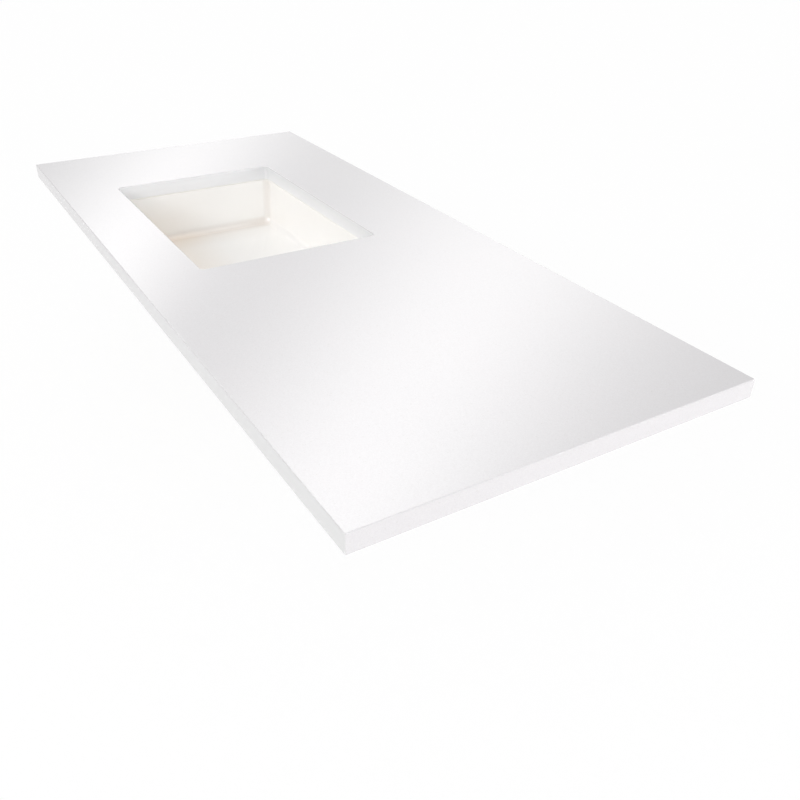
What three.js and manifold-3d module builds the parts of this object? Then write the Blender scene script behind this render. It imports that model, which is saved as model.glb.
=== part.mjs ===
// Vanity sink top: a stone slab with a ceramic basin fixed under its cut-out, and the basin's push waste.
// Millimetres, +Z up, +X to the right of a person who stands at the front, +Y towards the wall.
// The origin is the middle of the slab's back edge, on the slab's underside.

import * as THREE from 'three';
import { mergeVertices } from 'three/addons/utils/BufferGeometryUtils.js';
import Module from 'manifold-3d';

// Clearances shared by all pieces
const SEAT_GAP = 0.3;
const CUT_OVERRUN = 1.5;

// Countertop slab
const SLAB_LENGTH = 1300;
const SLAB_DEPTH = 559;
const SLAB_THICKNESS = 25.4;
const SLAB_CORNER_RADIUS = 2;
const SLAB_EDGE_EASE = 1.5;

// Cut-out in the slab
const CUTOUT_LENGTH = 440;
const CUTOUT_DEPTH = 300;
const CUTOUT_LEFT_MARGIN = 225;
const CUTOUT_BACK_MARGIN = 159;
const CUTOUT_CORNER_RADIUS = 8;

// Basin bowl
const SLAB_OVERHANG = 1.5;
const BOWL_CORNER_RADIUS = 12;
const BOWL_LIP_RADIUS = 3;
const BOWL_WALL_DEPTH = 88;
const BOWL_WALL_DRAFT = 4;
const BOWL_FOOT_RADIUS = 12;
const BOWL_FLOOR_FALL = 8;
const BOWL_WALL_THICKNESS = 10;
const BOWL_FLOOR_THICKNESS = 12;
const BOWL_RIM_WIDTH = 28;
const BOWL_RIM_THICKNESS = 12;
const BOWL_RIM_EDGE_RADIUS = 2.5;
const BOWL_RIM_ROOT_RADIUS = 5;

// Drain seat, bore and boss of the bowl
const DRAIN_SEAT_RADIUS = 34;
const DRAIN_SEAT_DEPTH = 3.5;
const DRAIN_SEAT_SLOPE = 3;
const DRAIN_BORE_RADIUS = 24;
const DRAIN_BOSS_RADIUS = 38;
const DRAIN_BOSS_TAPER = 3;
const DRAIN_BOSS_HEIGHT = 36;

// Overflow of the bowl
const OVERFLOW_SLOT_LENGTH = 32;
const OVERFLOW_SLOT_HEIGHT = 10;
const OVERFLOW_SLOT_DROP = 26;
const OVERFLOW_WAY_WIDTH = 40;
const OVERFLOW_WAY_DEPTH = 9;
const OVERFLOW_CASE_WIDTH = 58;
const OVERFLOW_CASE_DEPTH = 21;
const OVERFLOW_CASE_TOP = 8;
const OVERFLOW_BEND_RADIUS = 30;
const OVERFLOW_CASE_END_COVER = 1.5;
const OVERFLOW_PORT_DROP = 17;

// Sealant under the slab
const SEALANT_THICKNESS = 2;
const SEALANT_SETBACK = 3;

// Clips that hold the bowl
const STUD_RADIUS = 3;
const STUD_SETBACK = 11;
const STUD_LENGTH = 48;
const STUD_CHAMFER = 0.7;
const INSERT_RADIUS = 5;
const INSERT_LENGTH = 13;
const INSERT_RIM_CHAMFER = 0.6;
const CLIP_WIDTH = 20;
const CLIP_THICKNESS = 2;
const CLIP_BITE = 9;
const CLIP_HEEL_REACH = 15;
const CLIP_BEND_RADIUS = 4;
const CLIP_SLOT_LENGTH = 12;
const CLIP_TOE_RADIUS = 5;
const WASHER_RADIUS = 8;
const WASHER_THICKNESS = 1.6;
const NUT_HUB_RADIUS = 5.5;
const NUT_HUB_TOP_RADIUS = 4.6;
const NUT_HUB_HEIGHT = 8;
const NUT_WING_REACH = 14;
const NUT_WING_HEIGHT = 13;
const NUT_WING_THICKNESS = 2.4;

// Waste body
const FLANGE_SEAL_THICKNESS = 1.5;
const FLANGE_RADIUS = 32;
const FLANGE_EDGE = 0.9;
const FLANGE_THICKNESS = 2.4;
const NECK_RADIUS = 23.2;
const NECK_LENGTH = 7;
const THROAT_RADIUS = 22.5;
const THROAT_CONE_DEPTH = 3.6;
const BODY_RADIUS = 21;
const BODY_WALL = 2.4;
const BODY_LENGTH = 80;
const BODY_END_CHAMFER = 0.8;
const BODY_SLOT_LENGTH = 22;
const BODY_SLOT_HEIGHT = 10;
const CARRIER_BOSS_RADIUS = 9;
const CARRIER_BOSS_HEIGHT = 14;
const CARRIER_TOP = 32;
const CARRIER_ARM_THICKNESS = 3;
const CARRIER_ARM_HEIGHT = 9;

// Pieces on the waste body
const GASKET_RADIUS = 31;
const GASKET_HEIGHT = 13;
const GASKET_TAPER = 3.5;
const GASKET_SPIGOT_HEIGHT = 3;
const FRICTION_WASHER_RADIUS = 28.5;
const FRICTION_WASHER_THICKNESS = 1.2;
const LOCK_NUT_ACROSS_FLATS = 55;
const LOCK_NUT_HEIGHT = 9;

// Tailpiece
const TAILPIECE_RADIUS = 15.875;
const TAILPIECE_WALL = 1.2;
const TAILPIECE_LENGTH = 130;
const TAILPIECE_COLLAR_HEIGHT = 11;
const TAILPIECE_SOCKET_WALL = 3.2;
const TAILPIECE_SEAL_THICKNESS = 2;
const BODY_SHOULDER_HEIGHT = 3;

// Push stopper and its cartridge
const STOPPER_TRAVEL = 9;
const CAP_RADIUS = 27.5;
const CAP_EDGE_HEIGHT = 2.2;
const CAP_CROWN_HEIGHT = 2.6;
const CAP_UNDERCUT = 0.8;
const CAP_STEM_RADIUS = 8;
const CAP_STEM_LIP = 1.2;
const CAP_STEM_LIP_HEIGHT = 1.5;
const CAP_SOCKET_DEPTH = 6;
const STOPPER_SEAL_THICKNESS = 3;
const PLUNGER_RADIUS = 2.5;
const PLUNGER_COLLAR_RADIUS = 4;
const PLUNGER_COLLAR_HEIGHT = 3.5;
const CARTRIDGE_RADIUS = 6;
const CARTRIDGE_FLANGE_RADIUS = 8.2;
const CARTRIDGE_FLANGE_HEIGHT = 2;
const CARTRIDGE_NECK_HEIGHT = 3;
const CARTRIDGE_PLUG_HEIGHT = 2;
const SPRING_CLOSED_LENGTH = 9;
const SPRING_WIRE_RADIUS = 0.45;

// Counts and shares
const CORNER_STEPS = 6;
const SIDE_STEPS = 4;
const ARC_STEPS = 4;
const END_ARC_STEPS = 4;
const ROUND_SEGMENTS = 24;
const SMALL_SEGMENTS = 12;
const WAY_STEPS = 14;
const CARRIER_ARMS = 3;
const SPRING_TURNS = 5;
const SPRING_STEPS_PER_TURN = 8;
const SPRING_SIDES = 6;
const FLOOR_RING_SHARES = [0.25, 0.5, 0.75, 1];
const LONG_SIDE_CLIP_SHARES = [-0.28, 0.28];

// Places worked out from the sizes
const CUTOUT_CENTRE_X = CUTOUT_LEFT_MARGIN + CUTOUT_LENGTH / 2 - SLAB_LENGTH / 2;
const CUTOUT_CENTRE_Y = -CUTOUT_BACK_MARGIN - CUTOUT_DEPTH / 2;
const MOUTH_HALF_X = CUTOUT_LENGTH / 2 + SLAB_OVERHANG;
const MOUTH_HALF_Y = CUTOUT_DEPTH / 2 + SLAB_OVERHANG;
const RIM_TOP_Z = -SEALANT_THICKNESS;
const RIM_UNDER_Z = RIM_TOP_Z - BOWL_RIM_THICKNESS;
const FOOT_Z = RIM_TOP_Z - BOWL_WALL_DEPTH;
const FLOOR_END_Z = FOOT_Z - BOWL_FLOOR_FALL;
const DRAIN_SEAT_Z = FLOOR_END_Z - DRAIN_SEAT_DEPTH;
const BOSS_UNDER_Z = DRAIN_SEAT_Z - DRAIN_BOSS_HEIGHT;
const OVERFLOW_PORT_Z = DRAIN_SEAT_Z - OVERFLOW_PORT_DROP;
const FIXING_BAND_WIDTH = SLAB_OVERHANG + BOWL_RIM_WIDTH + STUD_SETBACK + CLIP_HEEL_REACH * 2;

const wasm = await Module();
wasm.setup();

// Materials
const finish = (color, roughness, metalness) => new THREE.MeshStandardMaterial({ color, roughness, metalness });
const STONE = finish(0xf1f0f0, 0.16, 0);
const GLAZED_CHINA = finish(0xf6f1e8, 0.1, 0);
const SILICONE = finish(0xf2efe9, 0.5, 0);
const ZINC_STEEL = finish(0xb9bcbf, 0.35, 1);
const BRASS = finish(0xc2a35a, 0.35, 1);
const CHROME = finish(0xe2e4e6, 0.08, 1);
const RUBBER = finish(0x2b2b2b, 0.75, 0);
const NYLON = finish(0xe6e3da, 0.5, 0);

const group = new THREE.Group();

function addPiece(parent, name, geometry, material) {
  const mesh = new THREE.Mesh(geometry, material);
  mesh.name = name;
  parent.add(mesh);
}

// Loops, rings and skins

// A rounded rectangle about the origin at height z, anticlockwise seen from above.
function roundedLoop(halfX, halfY, radius, z, sideSteps = SIDE_STEPS) {
  const loop = [];
  for (let corner = 0; corner < 4; corner++) {
    const arcs = [0, 1].map((turn) => cornerArc(halfX, halfY, radius, (corner + turn) % 4));
    loop.push(...arcs[0]);
    for (let step = 1; step < sideSteps; step++) {
      loop.push(arcs[0][CORNER_STEPS].clone().lerp(arcs[1][0], step / sideSteps));
    }
  }
  return loop.map((point) => new THREE.Vector3(point.x, point.y, z));
}

function cornerArc(halfX, halfY, radius, corner) {
  const signX = corner === 0 || corner === 3 ? 1 : -1;
  const signY = corner < 2 ? 1 : -1;
  const centre = new THREE.Vector2(signX * (halfX - radius), signY * (halfY - radius));
  return Array.from({ length: CORNER_STEPS + 1 }, (_, step) => {
    const angle = ((corner + step / CORNER_STEPS) * Math.PI) / 2;
    return new THREE.Vector2(Math.cos(angle), Math.sin(angle)).multiplyScalar(radius).add(centre);
  });
}

// A circle whose points answer those of a rounded loop, one to one.
function circleLoop(radius, z) {
  const quarter = CORNER_STEPS + SIDE_STEPS;
  return Array.from({ length: 4 * quarter }, (_, step) => {
    const angle = ((step + SIDE_STEPS / 2) / quarter) * (Math.PI / 2);
    return new THREE.Vector3(radius * Math.cos(angle), radius * Math.sin(angle), z);
  });
}

const blendLoops = (from, to, share) => from.map((point, i) => point.clone().lerp(to[i], share));

// Points of an arc in an (offset, z) section, from one angle to another in quarter turns.
function sectionArc(offset, z, radius, fromQuarter, toQuarter) {
  return Array.from({ length: ARC_STEPS + 1 }, (_, step) => {
    const angle = (fromQuarter + ((toQuarter - fromQuarter) * step) / ARC_STEPS) * (Math.PI / 2);
    return [offset + radius * Math.cos(angle), z + radius * Math.sin(angle)];
  });
}

// The closed skin over rings whose order goes up outside, inwards on top, down inside and outwards below.
function ringSkin(rings) {
  const count = rings[0].length;
  const index = [];
  rings.forEach((ring, i) => {
    const next = (i + 1) % rings.length;
    ring.forEach((_, j) => {
      const k = (j + 1) % count;
      const [a, b, c, d] = [i * count + j, i * count + k, next * count + k, next * count + j];
      index.push(a, b, c, a, c, d);
    });
  });
  const positions = rings.flat().flatMap((point) => point.toArray());
  const geometry = new THREE.BufferGeometry();
  geometry.setAttribute('position', new THREE.Float32BufferAttribute(positions, 3));
  geometry.setIndex(index);
  return geometry;
}

// Lathes and extrusions

// A revolved piece about Z. The section's points are [radius, z].
function turned(section, segments = ROUND_SEGMENTS) {
  const points = section.map(([radius, z]) => new THREE.Vector2(radius, z));
  return new THREE.LatheGeometry(points, segments).rotateX(Math.PI / 2);
}

// A ring is a revolved section that closes on itself.
const turnedRing = (section, segments) => turned([...section, section[0]], segments);

function flatRing(innerRadius, outerRadius, lowZ, highZ, segments) {
  const section = [
    [innerRadius, lowZ],
    [outerRadius, lowZ],
    [outerRadius, highZ],
    [innerRadius, highZ],
  ];
  return turnedRing(section, segments);
}

function flatDisc(radius, lowZ, highZ, segments) {
  const section = [
    [0, lowZ],
    [radius, lowZ],
    [radius, highZ],
    [0, highZ],
  ];
  return turned(section, segments);
}

// An oblong with a round end at each end of its longer side.
function oblong(sizeX, sizeY) {
  const radius = Math.min(sizeX, sizeY) / 2;
  const runX = sizeX / 2 - radius;
  const runY = sizeY / 2 - radius;
  const start = sizeX < sizeY ? 0 : -Math.PI / 2;
  const shape = new THREE.Shape();
  shape.absarc(runX, runY, radius, start, start + Math.PI, false);
  shape.absarc(-runX, -runY, radius, start + Math.PI, start + Math.PI * 2, false);
  return shape;
}

// An outline's arc takes two steps for each of its curve segments.
const curveSegmentsFor = (arcSteps) => arcSteps / 2;

const plate = (shape, depth, arcSteps = END_ARC_STEPS) =>
  new THREE.ExtrudeGeometry(shape, { depth, curveSegments: curveSegmentsFor(arcSteps), bevelEnabled: false });

// Joins and cuts

function toSolid(geometry) {
  const bare = geometry.clone();
  bare.deleteAttribute('normal');
  bare.deleteAttribute('uv');
  const merged = mergeVertices(bare);
  const vertProperties = new Float32Array(merged.attributes.position.array);
  const triVerts = new Uint32Array(merged.index.array);
  return new wasm.Manifold(new wasm.Mesh({ numProp: 3, vertProperties, triVerts }));
}

function toGeometry(solid) {
  const { vertProperties, triVerts } = solid.getMesh();
  const geometry = new THREE.BufferGeometry();
  geometry.setAttribute('position', new THREE.BufferAttribute(vertProperties, 3));
  geometry.setIndex(new THREE.BufferAttribute(triVerts, 1));
  return geometry;
}

function worked(base, joins, cuts) {
  const joined = joins.reduce((solid, piece) => solid.add(toSolid(piece)), toSolid(base));
  return toGeometry(cuts.reduce((solid, piece) => solid.subtract(toSolid(piece)), joined));
}

// Fixing places around the rim, with the direction that leads away from the bowl
function fixingPlaces() {
  const outX = MOUTH_HALF_X + BOWL_RIM_WIDTH + STUD_SETBACK;
  const outY = MOUTH_HALF_Y + BOWL_RIM_WIDTH + STUD_SETBACK;
  const alongX = LONG_SIDE_CLIP_SHARES.map((share) => share * CUTOUT_LENGTH);
  const front = alongX.map((x) => ({ x, y: -outY, turn: -Math.PI / 2 }));
  const back = alongX.map((x) => ({ x, y: outY, turn: Math.PI / 2 }));
  const ends = [
    { x: -outX, y: 0, turn: Math.PI },
    { x: outX, y: 0, turn: 0 },
  ];
  return [...front, ...back, ...ends];
}

// Countertop slab: one slab with eased upper edges, its cut-out and six blind holes.
// A ring of edges on the underside parts the band that the fixings use from the seat on the cabinet.
function countertopSlab() {
  const outerRing = (inset, z) => {
    const halfX = SLAB_LENGTH / 2 - inset;
    const halfY = SLAB_DEPTH / 2 - inset;
    const loop = roundedLoop(halfX, halfY, SLAB_CORNER_RADIUS, z, 1);
    return loop.map((point) => point.add(new THREE.Vector3(0, -SLAB_DEPTH / 2, 0)));
  };
  const cutoutRing = (outset, z) => {
    const radius = CUTOUT_CORNER_RADIUS + outset;
    const loop = roundedLoop(CUTOUT_LENGTH / 2 + outset, CUTOUT_DEPTH / 2 + outset, radius, z, 1);
    return loop.map((point) => point.add(new THREE.Vector3(CUTOUT_CENTRE_X, CUTOUT_CENTRE_Y, 0)));
  };
  const easeZ = SLAB_THICKNESS - SLAB_EDGE_EASE;
  const outerEase = sectionArc(-SLAB_EDGE_EASE, easeZ, SLAB_EDGE_EASE, 0, 1);
  const cutoutEase = sectionArc(SLAB_EDGE_EASE, easeZ, SLAB_EDGE_EASE, 1, 2);
  const rings = [
    outerRing(0, 0),
    ...outerEase.map(([offset, z]) => outerRing(-offset, z)),
    ...cutoutEase.map(([offset, z]) => cutoutRing(offset, z)),
    cutoutRing(0, 0),
    cutoutRing(FIXING_BAND_WIDTH, 0),
  ];
  const hole = flatDisc(INSERT_RADIUS + SEAT_GAP, -CUT_OVERRUN, INSERT_LENGTH + SEAT_GAP, SMALL_SEGMENTS);
  const holes = fixingPlaces().map(({ x, y, turn }) =>
    hole.clone().rotateZ(turn).translate(CUTOUT_CENTRE_X + x, CUTOUT_CENTRE_Y + y, 0),
  );
  return worked(ringSkin(rings), [], holes);
}

addPiece(group, 'countertop_slab', countertopSlab(), STONE);

// Everything under the cut-out is placed from the cut-out's centre
const basin = new THREE.Group();
basin.position.set(CUTOUT_CENTRE_X, CUTOUT_CENTRE_Y, 0);
group.add(basin);

// Rings of the bowl, by how far they lie outside the mouth
function bowlRing(outset, z) {
  const radius = BOWL_CORNER_RADIUS + Math.max(outset, 0);
  return roundedLoop(MOUTH_HALF_X + outset, MOUTH_HALF_Y + outset, radius, z);
}

// Sealant: the squeezed bead between the rim and the slab
function rimSealant() {
  const inner = SEALANT_SETBACK;
  const outer = BOWL_RIM_WIDTH - SEALANT_SETBACK;
  return ringSkin([
    bowlRing(outer, RIM_TOP_Z),
    bowlRing(outer, 0),
    bowlRing(inner, 0),
    bowlRing(inner, RIM_TOP_Z),
  ]);
}

addPiece(basin, 'rim_sealant', rimSealant(), SILICONE);

// Basin bowl: slip-cast shell with a turned-out rim, a drain boss and an overflow way moulded in its front wall
function bowlShell() {
  const wallFootZ = FOOT_Z + BOWL_FOOT_RADIUS;
  const innerFoot = sectionArc(-BOWL_WALL_DRAFT - BOWL_FOOT_RADIUS, wallFootZ, BOWL_FOOT_RADIUS, 0, -1);
  const outerFootRadius = BOWL_FOOT_RADIUS + BOWL_WALL_THICKNESS;
  const outerFoot = sectionArc(-BOWL_WALL_DRAFT - BOWL_FOOT_RADIUS, wallFootZ, outerFootRadius, -1, 0);
  const lip = sectionArc(BOWL_LIP_RADIUS, RIM_TOP_Z - BOWL_LIP_RADIUS, BOWL_LIP_RADIUS, 1, 2);
  const edgeOffset = BOWL_RIM_WIDTH - BOWL_RIM_EDGE_RADIUS;
  const rimEdge = sectionArc(edgeOffset, RIM_UNDER_Z + BOWL_RIM_EDGE_RADIUS, BOWL_RIM_EDGE_RADIUS, -1, 0);
  const rootOffset = BOWL_WALL_THICKNESS + BOWL_RIM_ROOT_RADIUS;
  const rimRoot = sectionArc(rootOffset, RIM_UNDER_Z - BOWL_RIM_ROOT_RADIUS, BOWL_RIM_ROOT_RADIUS, 2, 1);
  const toRing = ([offset, z]) => bowlRing(offset, z);
  const innerFloorEdge = toRing(innerFoot[ARC_STEPS]);
  const outerFloorEdge = toRing(outerFoot[0]);
  const drainEdge = circleLoop(DRAIN_SEAT_RADIUS + DRAIN_SEAT_SLOPE, FLOOR_END_Z);
  const bossTop = circleLoop(DRAIN_BOSS_RADIUS, FLOOR_END_Z - BOWL_FLOOR_THICKNESS);
  const floorRings = (edge, centre) => FLOOR_RING_SHARES.map((share) => blendLoops(edge, centre, share));
  return ringSkin([
    circleLoop(DRAIN_BORE_RADIUS, BOSS_UNDER_Z),
    circleLoop(DRAIN_BOSS_RADIUS - DRAIN_BOSS_TAPER, BOSS_UNDER_Z),
    ...floorRings(outerFloorEdge, bossTop).reverse(),
    ...outerFoot.map(toRing),
    ...rimRoot.map(toRing),
    ...rimEdge.map(toRing),
    bowlRing(BOWL_RIM_WIDTH, RIM_TOP_Z),
    ...lip.map(toRing),
    ...innerFoot.map(toRing),
    ...floorRings(innerFloorEdge, drainEdge),
    circleLoop(DRAIN_SEAT_RADIUS, DRAIN_SEAT_Z),
    circleLoop(DRAIN_BORE_RADIUS, DRAIN_SEAT_Z),
  ]);
}

// The overflow's route: down outside the front wall, round a bend and under the floor towards the drain bore.
// A reach share of 1 leads it to the drain's axis.
function overflowRoute(topZ, reachShare) {
  const downY = -MOUTH_HALF_Y - BOWL_WALL_THICKNESS - OVERFLOW_WAY_DEPTH / 2;
  const underZ = FOOT_Z - BOWL_WALL_THICKNESS - OVERFLOW_WAY_DEPTH / 2;
  const corner = new THREE.Vector3(0, downY, underZ);
  const port = new THREE.Vector3(0, 0, OVERFLOW_PORT_Z);
  const run = port.clone().sub(corner);
  const bendStart = corner.clone().add(new THREE.Vector3(0, 0, OVERFLOW_BEND_RADIUS));
  const bendEnd = corner.clone().addScaledVector(run.clone().normalize(), OVERFLOW_BEND_RADIUS);
  const route = new THREE.CurvePath();
  route.add(new THREE.LineCurve3(new THREE.Vector3(0, downY, topZ), bendStart));
  route.add(new THREE.QuadraticBezierCurve3(bendStart, corner, bendEnd));
  route.add(new THREE.LineCurve3(bendEnd, corner.clone().addScaledVector(run, reachShare)));
  return route;
}

function overflowTube(width, depth, topZ, reachShare) {
  const extrudePath = overflowRoute(topZ, reachShare);
  const options = { steps: WAY_STEPS, curveSegments: curveSegmentsFor(END_ARC_STEPS), extrudePath };
  return new THREE.ExtrudeGeometry(oblong(depth, width), options);
}

function basinBowl() {
  const slotZ = RIM_TOP_Z - OVERFLOW_SLOT_DROP;
  const caseTopZ = slotZ + OVERFLOW_CASE_TOP;
  const wayTopZ = slotZ + OVERFLOW_SLOT_HEIGHT / 2;
  const wayY = MOUTH_HALF_Y + BOWL_WALL_THICKNESS + OVERFLOW_WAY_DEPTH / 2;
  const caseReachShare = 1 - (DRAIN_BORE_RADIUS + OVERFLOW_CASE_END_COVER) / wayY;
  const casing = overflowTube(OVERFLOW_CASE_WIDTH, OVERFLOW_CASE_DEPTH, caseTopZ, caseReachShare);
  const way = overflowTube(OVERFLOW_WAY_WIDTH, OVERFLOW_WAY_DEPTH, wayTopZ, 1);
  const slotDepth = BOWL_WALL_THICKNESS + OVERFLOW_WAY_DEPTH / 2 + BOWL_WALL_DRAFT + CUT_OVERRUN;
  const slot = plate(oblong(OVERFLOW_SLOT_LENGTH, OVERFLOW_SLOT_HEIGHT), slotDepth)
    .rotateX(Math.PI / 2)
    .translate(0, -MOUTH_HALF_Y + BOWL_WALL_DRAFT + CUT_OVERRUN, slotZ);
  return worked(bowlShell(), [casing], [way, slot]);
}

addPiece(basin, 'basin_bowl', basinBowl(), GLAZED_CHINA);

// Fixings: each is built about its stud, with local +X leading away from the bowl

const CLIP_TOP_Z = RIM_UNDER_Z - SEAT_GAP;
const CLIP_UNDER_Z = CLIP_TOP_Z - CLIP_THICKNESS;
const CLIP_WASHER_UNDER_Z = CLIP_UNDER_Z - SEAT_GAP - WASHER_THICKNESS;
const WING_NUT_TOP_Z = CLIP_WASHER_UNDER_Z - SEAT_GAP;

function threadedInsert() {
  const boreRadius = STUD_RADIUS + SEAT_GAP;
  const section = [
    [boreRadius, 0],
    [INSERT_RADIUS, 0],
    [INSERT_RADIUS, INSERT_LENGTH - INSERT_RIM_CHAMFER],
    [INSERT_RADIUS - INSERT_RIM_CHAMFER, INSERT_LENGTH],
    [boreRadius, INSERT_LENGTH],
  ];
  return turnedRing(section, SMALL_SEGMENTS);
}

function clipStud() {
  const topZ = INSERT_LENGTH - SEAT_GAP;
  const lowZ = topZ - STUD_LENGTH;
  const section = [
    [0, lowZ],
    [STUD_RADIUS - STUD_CHAMFER, lowZ],
    [STUD_RADIUS, lowZ + STUD_CHAMFER],
    [STUD_RADIUS, topZ - STUD_CHAMFER],
    [STUD_RADIUS - STUD_CHAMFER, topZ],
    [0, topZ],
  ];
  return turned(section, SMALL_SEGMENTS);
}

// Strap with its heel turned up to the slab, its toe under the rim and a slot for the stud
function basinClip() {
  const toeX = -STUD_SETBACK - CLIP_BITE;
  const innerRadius = CLIP_BEND_RADIUS - CLIP_THICKNESS;
  const bendX = CLIP_HEEL_REACH - CLIP_BEND_RADIUS;
  const bendZ = CLIP_UNDER_Z + CLIP_BEND_RADIUS;
  const side = new THREE.Shape();
  side.moveTo(toeX, CLIP_TOP_Z);
  side.lineTo(toeX, CLIP_UNDER_Z);
  side.absarc(bendX, bendZ, CLIP_BEND_RADIUS, -Math.PI / 2, 0, false);
  side.lineTo(CLIP_HEEL_REACH, -SEAT_GAP);
  side.lineTo(CLIP_HEEL_REACH - CLIP_THICKNESS, -SEAT_GAP);
  side.absarc(bendX, bendZ, innerRadius, 0, -Math.PI / 2, true);
  const strap = plate(side, CLIP_WIDTH).rotateX(Math.PI / 2).translate(0, CLIP_WIDTH / 2, 0);
  const cutDepth = CLIP_THICKNESS + CUT_OVERRUN + CUT_OVERRUN;
  const slot = plate(oblong(CLIP_SLOT_LENGTH, (STUD_RADIUS + SEAT_GAP) * 2), cutDepth, SMALL_SEGMENTS / 2);
  slot.translate(0, 0, CLIP_UNDER_Z - CUT_OVERRUN);
  return worked(strap, [], [slot, ...toeCorners(toeX, cutDepth)]);
}

// What the toe's round corners take off the strap
function toeCorners(toeX, cutDepth) {
  return [1, -1].map((side) => {
    const cornerX = toeX - CUT_OVERRUN;
    const cornerY = side * (CLIP_WIDTH / 2 + CUT_OVERRUN);
    const centreX = toeX + CLIP_TOE_RADIUS;
    const centreY = side * (CLIP_WIDTH / 2 - CLIP_TOE_RADIUS);
    const waste = new THREE.Shape();
    waste.moveTo(cornerX, cornerY);
    waste.lineTo(cornerX, centreY);
    waste.lineTo(toeX, centreY);
    waste.absarc(centreX, centreY, CLIP_TOE_RADIUS, Math.PI, (side * Math.PI) / 2, side > 0);
    waste.lineTo(centreX, cornerY);
    return plate(waste, cutDepth).translate(0, 0, CLIP_UNDER_Z - CUT_OVERRUN);
  });
}

function wingNut() {
  const lowZ = WING_NUT_TOP_Z - NUT_HUB_HEIGHT;
  const boreRadius = STUD_RADIUS + SEAT_GAP;
  const hub = turnedRing(
    [
      [boreRadius, lowZ],
      [NUT_HUB_TOP_RADIUS, lowZ],
      [NUT_HUB_RADIUS, WING_NUT_TOP_Z],
      [boreRadius, WING_NUT_TOP_Z],
    ],
    SMALL_SEGMENTS,
  );
  const rootX = (boreRadius + NUT_HUB_TOP_RADIUS) / 2;
  const tipZ = WING_NUT_TOP_Z - NUT_WING_HEIGHT;
  const wing = new THREE.Shape();
  wing.moveTo(rootX, WING_NUT_TOP_Z - NUT_WING_THICKNESS);
  wing.lineTo(rootX, lowZ + NUT_WING_THICKNESS);
  wing.quadraticCurveTo(NUT_HUB_RADIUS, tipZ, NUT_WING_REACH - NUT_WING_THICKNESS, tipZ);
  wing.quadraticCurveTo(NUT_WING_REACH, tipZ, NUT_WING_REACH, tipZ + NUT_WING_THICKNESS);
  wing.quadraticCurveTo(NUT_WING_REACH, lowZ, rootX, WING_NUT_TOP_Z - NUT_WING_THICKNESS);
  const wingPlate = plate(wing, NUT_WING_THICKNESS)
    .rotateX(Math.PI / 2)
    .translate(0, NUT_WING_THICKNESS / 2, 0);
  return worked(hub, [wingPlate, wingPlate.clone().rotateZ(Math.PI)], []);
}

const FIXING_PIECES = [
  ['threaded_insert', threadedInsert(), BRASS],
  ['clip_stud', clipStud(), ZINC_STEEL],
  ['basin_clip', basinClip(), ZINC_STEEL],
  [
    'clip_washer',
    flatRing(STUD_RADIUS + SEAT_GAP, WASHER_RADIUS, CLIP_WASHER_UNDER_Z, CLIP_UNDER_Z - SEAT_GAP, SMALL_SEGMENTS),
    ZINC_STEEL,
  ],
  ['wing_nut', wingNut(), ZINC_STEEL],
];

fixingPlaces().forEach(({ x, y, turn }, i) => {
  const fixing = new THREE.Group();
  fixing.position.set(x, y, 0);
  fixing.rotation.z = turn;
  basin.add(fixing);
  FIXING_PIECES.forEach(([name, geometry, material]) => {
    addPiece(fixing, `${name}_${i + 1}`, geometry, material);
  });
});

// Waste: everything on the drain's axis is placed from the drain seat in the bowl
const waste = new THREE.Group();
waste.position.set(0, 0, DRAIN_SEAT_Z);
basin.add(waste);

const FLANGE_TOP_Z = FLANGE_SEAL_THICKNESS + FLANGE_THICKNESS;
const BODY_BORE_RADIUS = BODY_RADIUS - BODY_WALL;
const BODY_UNDER_Z = -BODY_LENGTH;
const SOCKET_RADIUS = BODY_RADIUS - TAILPIECE_SOCKET_WALL;
const SOCKET_TOP_Z = BODY_UNDER_Z + TAILPIECE_COLLAR_HEIGHT + TAILPIECE_SEAL_THICKNESS + SEAT_GAP;
const TAILPIECE_BORE_RADIUS = TAILPIECE_RADIUS - TAILPIECE_WALL;
const THREAD_BORE_RADIUS = BODY_RADIUS + SEAT_GAP;

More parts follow.
